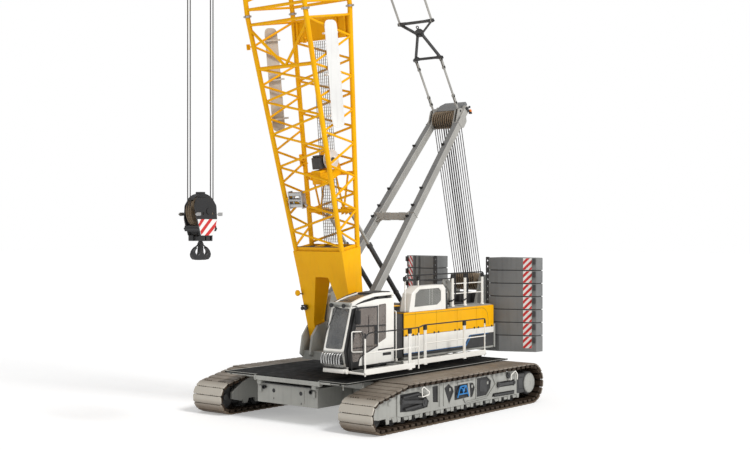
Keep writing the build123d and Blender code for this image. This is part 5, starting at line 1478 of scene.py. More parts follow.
shell.append(block((1.4, 1.25, 3.66), (1.47, 1.81, 3.735), 0.012))
for y in (1.165, 1.82):
    shell.append(flatBar((1.44, y + 0.03, 3.55), (1.44, y + 0.03, 3.66), 0.06, 0.08, (0, 1, 0)))
install("cabShell", shell, "upperworks", "whitePaint", "cab_sides", "cab_ends")

roofPane = cutPlate(
    [(3.27, 3.50), (2.8, 3.62), (2.3, 3.70), (2.3, 3.69), (2.8, 3.61), (3.27, 3.49)], 1.25, 1.81, edge=0.0005
)
roofBack = [
    cutPlate(
        [(2.32, 3.69), (2.3, 3.735), (1.95, 3.765), (1.5, 3.765), (1.44, 3.74), (1.44, 3.68)], 1.25, 1.81,
        edge=0.012
    )
]
roofSeam = [
    (3.12, 3.40), (2.8, 3.47), (2.2, 3.54), (1.45, 3.56), (1.45, 3.66), (2.27, 3.65), (2.8, 3.56), (3.12, 3.47)
]
for low, high in ((1.79, 1.83), (1.23, 1.26)):
    roofBack.append(cutPlate(roofSeam, low, high, edge=0.004))
for x, z, wide in ((2.78, 3.525, 0.3), (2.44, 3.575, 0.28), (2.02, 3.60, 0.2), (1.62, 3.61, 0.16)):
    roofBack.append(block((x - wide / 2, 1.83, z - 0.015), (x + wide / 2, 1.885, z + 0.055), 0.014, 2))
roofBack.append(flatBar((3.30, 1.2, 3.505), (2.75, 1.2, 3.66), 0.03, 0.02, edge=0.004))
roofBack.append(flatBar((2.75, 1.2, 3.66), (2.3, 1.2, 3.745), 0.03, 0.02, edge=0.004))
for n in range(7):
    x = 3.1 - 0.13 * n
    roofBack.append(
        flatBar((x, 1.25, 3.545 + 0.025 * n), (x, 1.82, 3.545 + 0.025 * n), 0.012, 0.018, (1, 0, 0), 0.002)
    )
install("cabRoofTrim", roofBack, "upperworks", "blackPaint", "cab_roof")

visorSizes = {
    "x": 3.41, "z": 3.48, "lowY": 1.16, "highY": 1.89, "radius": 0.042,
    "sill": ((3.3, 1.18, 3.38), (3.36, 1.86, 3.49)),
}
s = visorSizes
visor = [tube((s["x"], s["lowY"], s["z"]), (s["x"], s["highY"], s["z"]), s["radius"], 16), block(*s["sill"], 0.01)]
install("cabVisor", visor, "upperworks", "lightGrey")
lampSizes = {
    "ys": (1.24, 1.7), "x": 3.42, "z": 3.42,
    "bowl": [(0, 0.0005), (0, 0.04), (0.03, 0.06), (0.06, 0.06), (0.06, 0.05), (0.05, 0.0005)],
}
s = lampSizes
lamps = []
for y in s["ys"]:
    lamps.append(turned(s["bowl"], (s["x"], y, s["z"]), "X", 20))
    lamps.append(block((s["x"] - 0.04, y - 0.015, s["z"]), (s["x"] + 0.01, y + 0.015, s["z"] + 0.06), 0.003))
lamps.append(flatBar((3.37, 1.3, 3.37), (3.37, 1.5, 3.33), 0.05, 0.02, (1, 0, 0)))
lamps.append(flatBar((3.44, 1.45, 3.37), (3.63, 1.15, 2.6), 0.022, 0.014, (0, 1, 0)))
lamps.append(flatBar((3.625, 1.17, 2.62), (3.5, 1.17, 3.02), 0.02, 0.014, (0, 1, 0)))
install("cabFrontLamps", lamps, "upperworks", "blackPaint")

panes = [screenPane, roofPane]
panes.append(cutPlate(rightHole, t["right"] + 0.012, t["right"] + 0.02, edge=0.001))
panes.append(cutPlate(backHole, t["rear"] + 0.012, t["rear"] + 0.02, "YZ", edge=0.001))
install("cabPanes", panes, "upperworks", "screenGlass", "cab_glass")
attach("footPane", [footPane], "upperworks", "cabGlass")
place(
    cutPlate(quarterHole, t["left"] - 0.024, t["left"] - 0.014, edge=0.001), "upperworks", "doorGlass"
).name = "quarterPane"

doorLower = [(2.2, 1.7), (3.075, 1.7), (3.02, 1.89), (2.96, 1.94), (2.74, 2.025), (2.2, 2.195)]
doorOuter = [
    (2.2, 2.2), (2.74, 2.03), (2.96, 1.945), (3.025, 1.895), (3.08, 1.7), (3.49, 1.7), (3.56, 2.16), (3.19, 3.37),
    (2.2, 3.37)
]
doorGlassHole = [
    (2.23, 2.225), (2.75, 2.06), (2.98, 1.97), (3.05, 1.91), (3.09, 1.83), (3.34, 1.83), (3.385, 2.16),
    (3.055, 3.335), (2.23, 3.335)
]
doorSizes = {"low": 1.908, "high": 1.942, "glassLow": 1.921, "glassHigh": 1.929, "grabY": 1.985}
low, high = doorSizes["low"], doorSizes["high"]
doorBars = [bored(cutPlate(doorOuter, low, high, edge=0.003), doorGlassHole, low=low, high=high, bend=0.02)]
doorBars.append(flatBar((3.235, 1.936, 2.84), (2.22, 1.936, 2.80), 0.01, 0.035, edge=0.002))
doorBars.append(flatBar((3.36, 1.935, 2.22), (2.42, 1.935, 2.22), 0.008, 0.018, edge=0.002))
doorBars.append(block((2.235, 1.931, 2.26), (2.36, 1.94, 2.81), 0.002))
doorBars.append(flatBar((2.62, 1.935, 2.6), (2.62, 1.935, 3.12), 0.02, 0.01, (1, 0, 0), 0.002))
install("doorFrame", doorBars, "cab_door", "blackPaint", "cab_door")
doorPanel = [cutPlate(doorLower, low, high, edge=0.006)]
install("doorPanel", doorPanel, "cab_door", "whitePaint")
attach(
    "doorPane", [cutPlate(doorGlassHole, doorSizes["glassLow"], doorSizes["glassHigh"], edge=0.001)], "cab_door",
    "doorGlass", "door_glass"
)

quarterTrim = [
    flatBar(
        (2.13, 1.893, 2.80), (1.78, 1.893, 2.78), 0.01, 0.035, edge=0.002
    ), block((2.15, 1.866, 2.24), (2.19, 1.9025, 3.38), 0.003),
    block((1.54, 1.899, 1.90), (1.93, 1.903, 1.985), 0.001), block(
        (1.42, 1.899, 2.065), (2.17, 1.903, 2.105), 0.001
    ),
    block((1.375, 1.85, 1.72), (1.4, 1.9, 3.3), 0.004),
    cutPlate(
        [(3.695, 2.16), (3.345, 3.33), (3.14, 3.375), (3.515, 2.16), (3.44, 1.7), (3.585, 1.7)], 1.896, 1.904,
        edge=0.002
    ),
]
attach("cabSideTrim", quarterTrim, "upperworks", "blackPaint")

# Bars below the windscreen, the mirror and the grab frame beside the door
guardSizes = {"lowY": 1.2, "highY": 1.86, "bars": 8}
guard = []
for number in range(guardSizes["bars"]):
    y = guardSizes["lowY"] + (guardSizes["highY"] - guardSizes["lowY"]) * number / (guardSizes["bars"] - 1)
    outer = [(3.735, 2.125), (3.83, 2.08), (3.868, 1.95), (3.85, 1.8), (3.66, 1.69)]
    inner = [(3.66, 1.715), (3.828, 1.81), (3.846, 1.95), (3.812, 2.063), (3.735, 2.1)]
    guard.append(cutPlate(outer + inner, y - 0.02, y + 0.02, edge=0.003))
for x, z in ((3.735, 2.118), (3.63, 1.705)):
    guard.append(tube((x, guardSizes["lowY"] - 0.01, z), (x, guardSizes["highY"] + 0.01, z), 0.018, 12))
install("cabGuardBars", guard, "upperworks", "brightSteel", "front_guard")

mirrorSizes = {
    "glass": ((3.24, 1.99, 2.9), (3.33, 2.17, 3.31)), "rounding": 0.03,
    "arm": [(3.3, 1.87, 3.40), (3.3, 2.06, 3.42), (3.29, 2.08, 3.3)], "radius": 0.014,
}
s = mirrorSizes
mirror = [block(*s["glass"], s["rounding"], 3), pipe(s["arm"], s["radius"], 0.05, 2)]
install("cabMirror", mirror, "upperworks", "blackPaint")
y = doorSizes["grabY"]
grab = [pipe([(3.02, y, 2.68), (3.44, y, 2.70), (3.44, y, 2.13), (2.98, y, 2.10)], 0.018, 0.05, 2)]
attach("grabFrame", grab, "upperworks", "whitePaint")
grabDark = [
    pipe([(3.03, y, 2.68), (2.93, y, 2.58), (2.93, y, 2.1), (2.93, y, 1.6)], 0.019, 0.1, 2),
    tube((3.44, y, 1.6), (3.44, y, 2.13), 0.014, 10)
]
attach("grabLoop", grabDark, "upperworks", "darkGrey")


def cushion(low, high, bend):
    # A padded form: a box with broken edges, rounded by subdivision
    piece = block(low, high, bend, 2)
    for face in piece.data.polygons:
        face.use_smooth = True
    choose(piece)
    soft = piece.modifiers.new("soft", "SUBSURF")
    soft.levels = soft.render_levels = 2
    bpy.ops.object.modifier_apply(modifier=soft.name)
    return piece


seatSizes = {
    "base": ((2.02, 1.24, 2.14), (2.55, 1.70, 2.29), 0.05),
    "back": ((1.84, 1.25, 2.26), (2.02, 1.69, 2.86), 0.06),
    "headrest": ((1.84, 1.36, 2.88), (1.97, 1.58, 3.06), 0.045),
    "armRight": ((2.05, 1.15, 2.36), (2.45, 1.22, 2.42), 0.02),
    "armLeft": ((2.05, 1.72, 2.36), (2.45, 1.79, 2.42), 0.02),
}
seat = [cushion(*pad) for pad in seatSizes.values()]
attach("operatorSeat", seat, "upperworks", "seatCloth", "cab_seat")
consoleSizes = {
    "pedestal": ((2.05, 1.3, 1.74), (2.5, 1.64, 2.14), 0.03, 2),
    "boxRight": ((2.4, 1.13, 1.9), (2.75, 1.24, 2.3), 0.02),
    "boxLeft": ((2.4, 1.7, 1.9), (2.75, 1.81, 2.3), 0.02),
    "column": ((3.2, 1.2, 1.74), (3.42, 1.3, 2.5), 0.015),
    "screen": ((3.1, 1.12, 2.5), (3.2, 1.5, 2.78), 0.015),
}
console = [block(*box) for box in consoleSizes.values()]
leverSizes = {
    "ys": (1.185, 1.755), "foot": (2.6, 2.3), "top": (2.62, 2.42),
    "knob": [(0, 0.0005), (0, 0.02), (0.05, 0.03), (0.08, 0.02), (0.09, 0.0005)],
}
for y in leverSizes["ys"]:
    (x1, z1), (x2, z2) = leverSizes["foot"], leverSizes["top"]
    console.append(tube((x1, y, z1), (x2, y, z2), 0.012, 8))
    console.append(turned(leverSizes["knob"], (x2, y, z2), "Z", 14))
install("cabConsoles", console, "upperworks", "darkGrey")
print("cab ready")


# Grille housing on the roof: a white shell with chamfered ends and a woven silver mesh
housingSizes = {"low": 3.045, "inner": 1.13, "outer": 1.5, "wire": 0.012, "pitch": 0.078}
t = housingSizes
housingSide = [
    (0.12, t["low"]), (-0.01, 3.6), (-0.25, 3.76), (-0.4, 3.815), (-1.65, 3.82), (-1.77, 3.70), (-1.785, t["low"])
]
meshHole = [(-0.14, 3.19), (-0.2, 3.59), (-0.41, 3.72), (-1.42, 3.73), (-1.53, 3.63), (-1.53, 3.33), (-1.34, 3.21)]
housing = [cutPlate(housingSide, t["outer"] - 0.02, t["outer"], holes=[meshHole], edge=0.005)]
housing.append(cutPlate(housingSide, t["inner"], t["inner"] + 0.02, edge=0.005))
for (x1, z1), (x2, z2) in zip(housingSide, housingSide[1:]):
    housing.append(
        flatBar(
            (x1, (t["inner"] + t["outer"]) / 2, z1), (x2, (t["inner"] + t["outer"]) / 2, z2),
            t["outer"] - t["inner"] - 0.012, 0.016, edge=0.003
        )
    )
install("housingShell", housing, "upperworks", "whitePaint", "grille_housing")
weave = []
for way in (1, -1):
    for number in range(-26, 62):
        # A slanting wire is clipped by the mesh outline
        offset = number * t["pitch"]
        cuts = []
        for (x1, z1), (x2, z2) in zip(meshHole, meshHole[1:] + meshHole[:1]):
            first, last = z1 + way * x1, z2 + way * x2
            level = 1.6 + offset if way > 0 else 3.0 + offset
            if (first - level) * (last - level) < 0:
                share = (level - first) / (last - first)
                cuts.append((x1 + (x2 - x1) * share, z1 + (z2 - z1) * share))
        if len(cuts) == 2 and hypot(cuts[0][0] - cuts[1][0], cuts[0][1] - cuts[1][1]) > 0.05:
            y = t["outer"] - 0.018 + way * 0.003
            weave.append(tube((cuts[0][0], y, cuts[0][1]), (cuts[1][0], y, cuts[1][1]), t["wire"], 4, False))
for x in (-0.93, -1.06):
    weave.append(block((x - 0.022, t["outer"] - 0.012, 3.2), (x + 0.022, t["outer"] - 0.004, 3.73), 0.002))
attach("housingMesh", weave, "upperworks", "lightGrey")
behind = [
    cutPlate(meshHole, t["outer"] - 0.045, t["outer"] - 0.03, edge=0.001),
    block((-1.86, 0.72, 3.035), (0.37, 1.48, 3.055), 0.004)
]
behind.append(cutPlate([(-1.79, 3.05), (-1.79, 3.7), (-1.9, 3.55), (-1.93, 3.05)], 1.2, 1.47, edge=0.006))
line = [(0.36, 1.501, 2.972), (-3.95, 1.501, 2.972), (-4.18, 1.501, 2.8), (-4.22, 1.501, 2.4)]
behind.append(pipe(line, 0.0045, 0.14, 1))
install("roofDark", behind, "upperworks", "darkGrey")

# Roof tread, railing, black loops and the small arm behind the housing
roofParts = [block((-4.5, 0.72, 3.036), (-1.95, 1.45, 3.052), 0.004)]
for number in range(14):
    y = 0.76 + 0.05 * number
    roofParts.append(block((-4.45, y, 3.05), (-2.0, y + 0.03, 3.075), 0.003))
arm = [
    (-2.08, 3.86), (-2.14, 3.96), (-2.27, 3.99), (-2.42, 3.95), (-2.56, 3.8), (-2.65, 3.5), (-2.66, 3.06),
    (-2.5, 3.06), (-2.46, 3.52), (-2.3, 3.74), (-2.14, 3.77)
]
roofParts.append(cutPlate(arm, 1.12, 1.17, holes=[circle(-2.27, 3.86, 0.04, 14)], edge=0.005, bend=0.04))
install("roofTread", roofParts, "upperworks", "lightGrey")

railSizes = {"post": 0.027, "apart": 0.031, "top": 0.02, "mid": 0.017, "high": 2.7, "middle": 2.14}
t = railSizes


def railPost(x, y, low, high, pair=True, along=(1, 0, 0)):
    shifts = (-t["apart"], t["apart"]) if pair else (0,)
    made = []
    for shift in shifts:
        spot = Vector((x, y, 0)) + Vector(along) * shift
        made.append(tube((spot.x, spot.y, low), (spot.x, spot.y, high), t["post"] if pair else t["post"] * 0.8, 12))
    if pair:
        made.append(block((x - 0.07, y - 0.035, low), (x + 0.07, y + 0.035, low + 0.05), 0.006))
    return made


def railClamp(x, y, low, high):
    return [
        block((x - 0.066, y - 0.034, low), (x + 0.066, y + 0.034, high), 0.01),
        crossPin(x, high - 0.03, 0.03, y - 0.045, y + 0.045, 12)
    ]


whiteRails, darkRails = [], []
roofPosts = ((0.22, 3.06), (-0.46, 3.82), (-2.3, 3.08), (-3.0, 3.08), (-4.0, 3.08))
for x, low in roofPosts:
    whiteRails += railPost(x, 1.4, low, 4.02, x < -2)
    darkRails += railClamp(x, 1.4, 4.0, 4.13)
darkRails.append(
    pipe([(0.24, 1.4, 3.98), (0.22, 1.4, 4.16), (-4.06, 1.4, 4.16), (-4.1, 1.4, 3.9)], t["top"], 0.1, 2)
)
darkRails.append(pipe([(0.22, 1.4, 4.0), (-2.28, 1.4, 4.0)], t["mid"], 0.05, 2))
whiteRails.append(pipe([(-2.3, 1.4, 3.5), (-4.0, 1.4, 3.5)], t["mid"], 0.05, 2))
whiteRails.append(pipe([(-2.3, 1.4, 3.82), (-4.0, 1.4, 3.82)], t["mid"], 0.05, 2))
for x in (-2.44, -3.14):
    darkRails.append(
        pipe([(x, 1.4, 4.15), (x, 1.4, 3.5), (x + 0.08, 1.4, 3.3), (x + 0.3, 1.4, 3.26)], 0.034, 0.16, 3)
    )
attach("roofRailPosts", whiteRails, "upperworks", "whitePaint", "roof_railing")
attach("roofRailTops", darkRails, "upperworks", "blackPaint")

# Catwalks: gratings in a white frame, folding posts, dark hand rails and white middle rails
walkEdges = {
    "left": {
        "parts": ((1.3, 3.62, 1.955, 2.62), (-3.05, 1.3, 1.52, 2.2)), "arms": (3.0, 2.0, 0.9, -0.6, -2.2, -2.9)
    },
    "right": {"parts": ((-3.0, -0.3, 1.52, 2.2),), "arms": (-0.5, -1.6, -2.8)},
}
postRows = {
    "left": (
        [
            (3.58, 2.59, False), (1.53, 2.59, True), (1.1, 2.59, False), (0.22, 2.17, True), (-1.85, 2.17, True),
            (-3.0, 2.17, False)
        ],
        [
            [
                (3.58, 2.59, 2.3), (3.58, 2.59, 2.58), (3.44, 2.59, t["high"]), (1.12, 2.59, t["high"]),
                (0.28, 2.17, t["high"]), (-3.02, 2.17, t["high"]), (-3.04, 2.17, 2.5)
            ]
        ],
        [
            [(3.58, 2.59, t["middle"]), (1.1, 2.59, t["middle"])],
            [(0.22, 2.17, t["middle"]), (-3.04, 2.17, t["middle"])]
        ],
    ),
    "right": (
        [(-0.34, -2.17, True), (-1.6, -2.17, True), (-2.96, -2.17, False)],
        [[(-0.3, -2.17, 2.4), (-0.3, -2.17, t["high"]), (-2.98, -2.17, t["high"]), (-3.0, -2.17, 2.5)]],
        [[(-0.34, -2.17, t["middle"]), (-2.96, -2.17, t["middle"])]],
    ),
}
for sideName, side in (("left", 1), ("right", -1)):
    grating, frames = [], []
    for rear, front, inner, outer in walkEdges[sideName]["parts"]:
        count = round((front - rear) / 0.045)
        for number in range(count):
            x = rear + 0.02 + (front - rear - 0.04) * number / (count - 1)
            low, high = span(side, inner + 0.01, outer - 0.03)
            grating.append(block((x - 0.003, low, 1.572), (x + 0.003, high, 1.6), 0))
        for number in range(5):
            y = side * (inner + 0.04 + (outer - inner - 0.1) * number / 4)
            grating.append(block((rear + 0.01, y - 0.004, 1.56), (front - 0.01, y + 0.004, 1.59), 0))
        low, high = span(side, outer - 0.045, outer)
        frames.append(block((rear, low, 1.535), (front, high, 1.695), 0.008))
        low, high = span(side, inner, inner + 0.04)
        frames.append(block((rear, low, 1.535), (front, high, 1.6), 0.006))
        for x in (rear + 0.02, front - 0.02):
            low, high = span(side, inner, outer)
            frames.append(block((x - 0.02, low, 1.54), (x + 0.02, high, 1.6), 0.006))
    low, high = span(side, 1.0, 2.1)
    arms = [block((x - 0.04, low, 1.46), (x + 0.04, high, 1.54), 0.008) for x in walkEdges[sideName]["arms"]]
    whiteRails, darkRails = [], []
    posts, tops, mids = postRows[sideName]
    for x, y, pair in posts:
        whiteRails += railPost(x, y, 1.5, t["high"] - 0.14, pair)
        if pair:
            darkRails += railClamp(x, y, t["high"] - 0.15, t["high"] + 0.005)
        else:
            darkRails.append(tube((x, y, t["high"] - 0.15), (x, y, t["high"]), 0.024, 12))
    darkRails += [pipe(points, t["top"], 0.12, 2) for points in tops]
    whiteRails += [pipe(points, t["mid"], 0.05, 2) for points in mids]
    ending = sideName.capitalize()
    attach("walkGrating" + ending, grating, "upperworks", "lightGrey", "catwalk_" + sideName)
    attach("walkFrame" + ending, frames, "upperworks", "whitePaint")
    attach("walkArms" + ending, arms, "upperworks", "darkGrey")
    attach("railPosts" + ending, whiteRails, "upperworks", "whitePaint", "handrail_" + sideName)
    attach("railTops" + ending, darkRails, "upperworks", "blackPaint")
sillSizes = {
    "sill": ((3.62, 1.16, 1.54), (3.74, 1.93, 1.655)), "bar": ((3.6, 1.9, 1.59), (3.6, 2.6, 1.56)),
    "pin": (3.66, 1.6, 0.07, 1.92, 2.0),
}
frontSill = [
    block(*sillSizes["sill"], 0.014, 2), tube(*sillSizes["bar"], 0.028, 12), crossPin(*sillSizes["pin"], 16)
]
install("cabFrontSill", frontSill, "upperworks", "whitePaint")
postSizes = {
    "x": 0.74, "y": 1.46, "low": 1.65, "high": 3.1, "foot": ((0.7, 1.42, 1.6), (0.78, 1.5, 1.68)),
    "hook": (0.9, 1.46, 3.16),
}
s = postSizes
postTop = (s["x"], s["y"], s["high"])
frontPost = [
    tube((s["x"], s["y"], s["low"]), postTop, 0.022, 10), block(*s["foot"], 0.01),
    tube(postTop, s["hook"], 0.018, 8)
]
install("houseFrontPost", frontPost, "upperworks", "whitePaint")
print("roof, catwalks and rails ready")


# Side frames: a raised plate with shallow recesses darkened by black plates as painted shade, folded arms, steps, a
# blue stand and the drive cover
frameSizes = {
    "face": 3.302, "plate": 0.03, "stepY": 3.44, "driveX": -3.787, "driveZ": 0.645, "lobes": 14,
    "lobePitch": 0.5125, "bolts": 12, "teeth": 15
}
t = frameSizes
recesses = {
    "armFront": [(2.95, 0.5), (2.95, 0.99), (2.12, 0.99), (1.8, 0.86), (1.6, 0.66), (1.66, 0.5), (2.3, 0.46)],
    "locker": [(1.43, 1.06), (1.15, 1.06), (1.15, 0.58), (1.40, 0.61)], "wedge": [
        (0.84, 0.95), (0.62, 1.06), (0.42, 0.92), (0.36, 0.80), (0.6, 0.46)
    ],
    "stand": [(0.33, 0.96), (-0.36, 0.97), (-0.42, 0.56), (0.33, 0.54)], "leaf": [
        (-0.45, 0.97), (-0.64, 0.96), (-0.74, 0.80), (-0.62, 0.55), (-0.5, 0.53)
    ],
    "cover": [(-0.84, 1.07), (-1.39, 1.08), (-1.63, 0.92), (-1.58, 0.69), (-1.37, 0.51), (-0.84, 0.51)],
    "armRear": [
        (-1.95, 0.84), (-2.95, 0.84), (-2.95, 0.66), (-1.95, 0.68)
    ], "armBelow": [(-1.72, 0.52), (-2.95, 0.5), (-2.95, 0.38), (-1.66, 0.42)],
}
plateEdge = [
    (3.08, 0.4), (3.08, 1.06), (2.5, 1.115), (-2.9, 1.115), (-3.08, 1.0), (-3.08, 0.36), (-2.4, 0.35), (2.9, 0.36)
]
framePlates, recessShadePlates, armParts, stepParts, standParts = [], [], [], [], []
framePlates.append(
    cutPlate(plateEdge, t["face"] - 0.002, t["face"] + t["plate"], holes=list(recesses.values()), edge=0.005)
)
# Painted shade: a black plate at the bottom of each shallow recess
for outline in recesses.values():
    recessShadePlates.append(cutPlate(outline, t["face"] - 0.004, t["face"] + 0.002, edge=0.0008))
framePlates.append(
    cutPlate(
        [(3.14, 0.4), (3.14, 0.97), (3.72, 0.93), (3.95, 0.84), (4.08, 0.7), (4.1, 0.42), (3.9, 0.38)],
        t["face"] - 0.1, t["face"] + 0.012, edge=0.008
    )
)
for radius, high in ((0.085, 0.022), (0.06, 0.034)):
    framePlates.append(crossPin(3.42, 0.80, radius, t["face"], t["face"] + high, 24))
framePlates.append(block((-0.56, 3.30, 0.985), (0.19, 3.36, 1.045), 0.008))
for start, end in (
    ((-0.11, 0.56), (-0.21, 0.42)), ((-0.21, 0.42), (-1.39, 0.455)), ((-1.39, 0.455), (-1.84, 0.80)),
    ((-1.84, 0.8), (-1.66, 1.09))
):
    framePlates.append(flatBar((start[0], 3.34, start[1]), (end[0], 3.34, end[1]), 0.05, 0.03, edge=0.004))
for x in (1.09, 0.88, -0.79):
    framePlates.append(block((x - 0.018, 3.30, 0.44), (x + 0.018, 3.355, 1.1), 0.005))
for number in range(t["lobes"]):
    x = -3.17 + t["lobePitch"] * number
    framePlates.append(
        cutPlate(
            [(x - 0.09, 0.4), (x + 0.09, 0.4), (x + 0.06, 0.23), (x - 0.06, 0.23)], t["face"] - 0.02,
            t["face"] + 0.016, edge=0.005
        )
    )
for (x1, z1), (x2, z2), thick in (
    ((2.9, 0.78), (1.9, 0.68), 0.1), ((2.85, 0.9), (2.1, 0.93), 0.05), ((-1.98, 0.76), (-2.9, 0.75), 0.09),
    ((-1.75, 0.46), (-2.85, 0.44), 0.06), ((2.0, 0.6), (2.75, 0.55), 0.06)
):
    armParts.append(flatBar((x1, 3.345, z1), (x2, 3.345, z2), 0.07, thick, edge=0.012))
for x, z, radius in (
    (1.86, 0.66, 0.11), (2.88, 0.78, 0.07), (-2.0, 0.76, 0.08), (-2.55, 1.0, 0.09), (-2.88, 0.75, 0.06)
):
    armParts.append(crossPin(x, z, radius, t["face"], 3.39, 24))
    armParts.append(crossPin(x, z, radius * 0.45, 3.38, 3.405, 14))
armParts.append(cutPlate([(-1.42, 0.6), (-1.02, 0.66), (-1.05, 1.0), (-1.4, 0.98)], 3.303, 3.312, edge=0.002))
for x, z in ((-1.44, 0.88), (0.55, 0.88), (-0.6, 0.86)):
    standParts.append(block((x - 0.035, 3.303, z - 0.045), (x + 0.035, 3.33, z + 0.045), 0.006))
blueStand = []
for start, end in (
    ((0.2, 0.6), (0.05, 0.92)), ((-0.38, 0.6), (-0.25, 0.92)), ((0.05, 0.92), (-0.25, 0.92)),
    ((0.16, 0.69), (-0.34, 0.69)), ((0.03, 0.9), (-0.09, 0.8)), ((-0.22, 0.9), (-0.09, 0.8)),
    ((-0.09, 0.8), (-0.09, 0.69))
):
    blueStand.append(tube((start[0], 3.35, start[1]), (end[0], 3.35, end[1]), 0.022, 12))
blueStand.append(crossPin(-0.09, 0.8, 0.05, 3.31, 3.38, 20))
for line in (
    [
        (2.05, 0.84), (2.08, 1.06), (1.99, 1.125), (1.72, 0.95), (1.75, 0.87), (2.05, 0.84)
    ], [(-2.59, 0.86), (-2.6, 1.02), (-2.84, 1.125), (-2.96, 1.0), (-2.94, 0.84)],
):
    stepParts.append(pipe([(x, t["stepY"], z) for x, z in line], 0.016, 0.03, 2))
    for x, z in (line[0], line[-2]):
        stepParts.append(tube((x, 3.3, z), (x, t["stepY"], z), 0.014, 10))
x, z = t["driveX"], t["driveZ"]
driveParts = [
    turned([(3.0, 0.05), (3.0, 0.37), (3.29, 0.37), (3.33, 0.345), (3.33, 0.05)], (x, 0, z), "Y", 40),
    block((-3.56, 2.95, 0.36), (-3.09, 3.33, 0.98), 0.04, 2)
]
driveParts.append(block((-3.44, 3.32, 0.5), (-3.16, 3.345, 0.86), 0.02))
discParts = [
    turned(
        [(3.3, 0.05), (3.3, 0.31), (3.36, 0.31), (3.375, 0.295), (3.375, 0.06), (3.365, 0.05)], (x, 0, z), "Y", 40
    ),
    crossPin(x, z, 0.052, 3.3, 3.37, 16)
]
for number in range(t["bolts"]):
    angle = 2 * pi * number / t["bolts"]
    discParts.append(crossPin(x + 0.265 * cos(angle), z + 0.265 * sin(angle), 0.014, 3.37, 3.385, 6))
teeth = []
for number in range(t["teeth"]):
    angle = 2 * pi * number / t["teeth"]
    teeth.append(
        flatBar(
            (x + 0.3 * cos(angle), 2.83, z + 0.3 * sin(angle)),
            (x + 0.46 * cos(angle), 2.83, z + 0.46 * sin(angle)), 0.16, 0.07, edge=0.015
        )
    )
for name, parts, finish, hidden in (
    ("framePlate", framePlates, "lightGrey", ""), (
        "frameRecessShade", recessShadePlates, "blackPaint", ""
    ), ("frameArms", armParts, "darkGrey", ""),
    ("frameSteps", stepParts, "whitePaint", ""), (
        "frameBlocks", standParts, "lightGrey", ""
    ), ("blueStand", blueStand, "pipeBlue", ""),
    (
        "driveCase", driveParts, "darkGrey", "final_drive"
    ), ("driveDisc", discParts, "lightGrey", "final_drive"), ("driveTeeth", teeth, "trackSteel", ""),
):
    placeBoth(finishMesh(merged(name + "Left", parts)), name, "undercarriage", finish, hidden)
print("side frames ready")


# Deck edge, the rounded front beam with its rods, and the fittings of the front ballast
deckSizes = {"front": 4.15, "rear": -4.02, "half": 2.4, "top": 1.335, "beamX": 4.1, "beamZ": 1.25}
t = deckSizes
edges = [
    block(
        (t["rear"] + 0.02, side * (t["half"] - 0.02) - 0.02, t["top"] - 0.006),
        (t["front"] - 0.02, side * (t["half"] - 0.02) + 0.02, t["top"] + 0.008), 0.003
    ) for side in (1, -1)
]
for low, high in ((-2.36, -1.1), (1.4, 2.36)):
    edges.append(
        block((t["front"] - 0.045, low, t["top"] - 0.03), (t["front"] - 0.002, high, t["top"] + 0.008), 0.004)
    )
edges.append(tube((t["beamX"], -1.1, t["beamZ"]), (t["beamX"], 1.36, t["beamZ"]), 0.078, 24))
for y in (-1.12, 1.38):
    edges.append(tube((t["beamX"], y - 0.025, t["beamZ"]), (t["beamX"], y + 0.025, t["beamZ"]), 0.09, 24))
edges.append(tube((t["beamX"] + 0.01, 1.4, 1.285), (t["beamX"] + 0.01, 1.8, 1.29), 0.045, 16))
edges.append(tube((t["beamX"] + 0.01, 1.8, 1.29), (t["beamX"] + 0.01, 2.3, 1.29), 0.022, 12))
edges.append(tube((t["beamX"] + 0.01, -1.14, 1.285), (t["beamX"] + 0.01, -2.3, 1.29), 0.026, 12))
edges.append(tube((t["beamX"] + 0.01, 2.24, 1.14), (t["beamX"] + 0.01, 2.24, 1.3), 0.014, 10))
for y in (-1.03, 1.12):
    edges.append(block((3.94, y - 0.08, 1.06), (4.1, y + 0.08, 1.2), 0.014))
install("deckEdge", edges, "undercarriage", "lightGrey")
markSizes = {
    "lip": ((3.976, -0.86, 1.078), (4.04, 1.04, 1.11)), "slots": ((-0.53, 0.66), (0.55, 0.60)),
    "eyes": (-0.89, 0.96), "eyeZ": 0.97, "plugs": (-0.534, 0.534), "plugZ": 0.889,
}
s = markSizes
marks = [block(*s["lip"], 0.004)]
for y, z in s["slots"]:
    marks.append(block((3.978, y - 0.012, z - 0.03), (3.984, y + 0.012, z + 0.03), 0.001))
marks.append(block((3.978, 0.677, 0.61), (3.983, 0.683, 0.99), 0.001))
for y in s["eyes"]:
    marks.append(tube((3.98, y, s["eyeZ"]), (4.05, y, s["eyeZ"]), 0.04, 16))
    marks.append(tube((4.02, y, s["eyeZ"]), (4.05, y, s["eyeZ"]), 0.062, 16))
    marks.append(block((3.98, y - 0.09, 0.955), (4.02, y + 0.09, 0.985), 0.006))
for y in s["plugs"]:
    marks.append(tube((3.94, y, s["plugZ"]), (3.981, y, s["plugZ"]), 0.06, 20))
install("ballastMarks", marks, "undercarriage", "blackPaint")

# Rope on the two winch drums
coilSizes = {"turns": 32, "half": 0.52, "z": 2.48, "luffingX": -3.3, "hoistX": -2.0}
half, count = coilSizes["half"], coilSizes["turns"]
for name, body, x in (
    ("luffingRopeCoil", "luffing_drum", coilSizes["luffingX"]), ("hoistRopeCoil", "hoist_drum", coilSizes["hoistX"])
):
    step = 2 * half / count
    profile = [(-half, 0.272)]
    for number in range(count):
        along = -half + number * step
        profile += [(along, 0.3), (along + step * 0.25, 0.314), (along + step * 0.75, 0.314)]
    profile += [(half, 0.3), (half, 0.272)]
    place(turned(profile, (x, 0, coilSizes["z"]), "Y", 36), body, "ropeSteel").name = name
print("deck and drums ready")
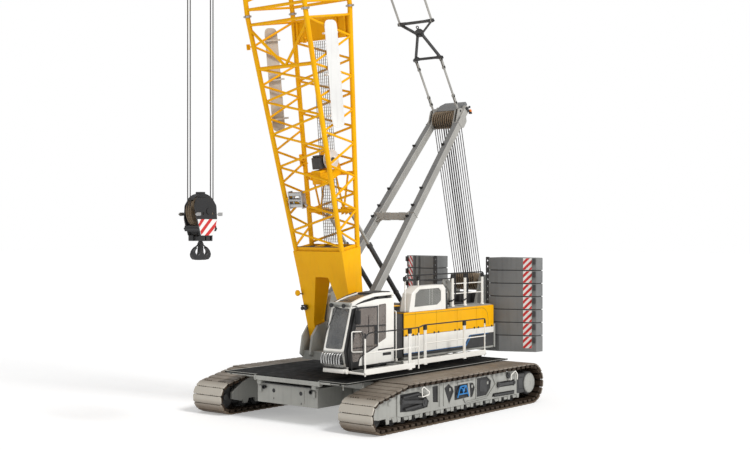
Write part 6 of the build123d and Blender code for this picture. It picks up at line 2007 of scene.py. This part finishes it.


# Boom foot: an upper lip, a dark plate as painted shade inside it with a dark strip on its top edge, and the lamps on
# its far leg; a dark web below the rear sheaves
footSizes = {
    "half": 0.9, "lampZ": 3.18, "lampX": 2.25, "lampYs": (-0.93, -0.8),
    "lampBowl": [(0, 0.0005), (0, 0.04), (0.05, 0.058), (0.08, 0.058), (0.08, 0.048), (0.07, 0.0005)],
}
s = footSizes
lip = [
    block((0.372, -s["half"], 2.76), (0.39, s["half"], 2.92), 0.004),
    block((-0.345, -0.895, 2.79), (-0.33, 0.895, 2.88), 0.004)
]
for side in (1, -1):
    low, high = span(side, 0.892, 0.908)
    lip.append(block((-0.34, low, 2.78), (0.385, high, 2.9), 0.004))
    low, high = span(side, 0.3, 0.33)
    lip.append(block((-0.3, low, 2.8), (0.36, high, 2.9), 0.004))
onBoom("boomFootLip", lip, "boomYellow")
# Painted shade: a dark plate fills the inside of the foot; the second block is a dark strip along the top edge
footShadeAndTrim = [
    block((-0.33, -0.88, 2.795), (0.37, 0.88, 2.83), 0.004),
    block((0.36, -0.88, 2.915), (0.394, 0.88, 2.935), 0.003)
]
onBoom("boomFootShadeAndTrim", footShadeAndTrim, "darkGrey")
lampArm = [
    pipe([(2.2, -0.78, 3.6), (2.34, -0.9, 3.62), (2.44, -0.98, 3.64)], 0.018, 0.05, 2),
    block((2.2, -0.98, 3.24), (2.32, -0.78, 3.28), 0.006)
]
for y in s["lampYs"]:
    lampArm.append(turned(s["lampBowl"], (s["lampX"], y, s["lampZ"]), "X", 18))
install("boomLampArm", lampArm, "boom", "blackPaint")
lampDisc = turned(
    [(0, 0.0005), (0, 0.09), (0.03, 0.095), (0.05, 0.08), (0.055, 0.0005)], (2.44, -0.99, 3.65), "X", 22
)
attach("boomLampDisc", [lampDisc], "boom", "boomYellow")
webSizes = {"half": 0.54, "low": 3.0, "high": 3.42, "ribs": (-0.3, 0.0, 0.3)}
s = webSizes
web = [
    block((-4.95, -s["half"], s["low"]), (-4.92, s["half"], s["high"]), 0.006),
    block((-4.9, -s["half"], s["low"]), (-4.2, s["half"], 3.06), 0.006)
]
for y in s["ribs"]:
    web.append(block((-4.92, y - 0.015, 3.05), (-4.7, y + 0.015, 3.38), 0.004))
attach("rearWeb", web, "upperworks", "darkGrey")
print("boom foot ready")


# Last steps
discard(*tubeMasters.values())
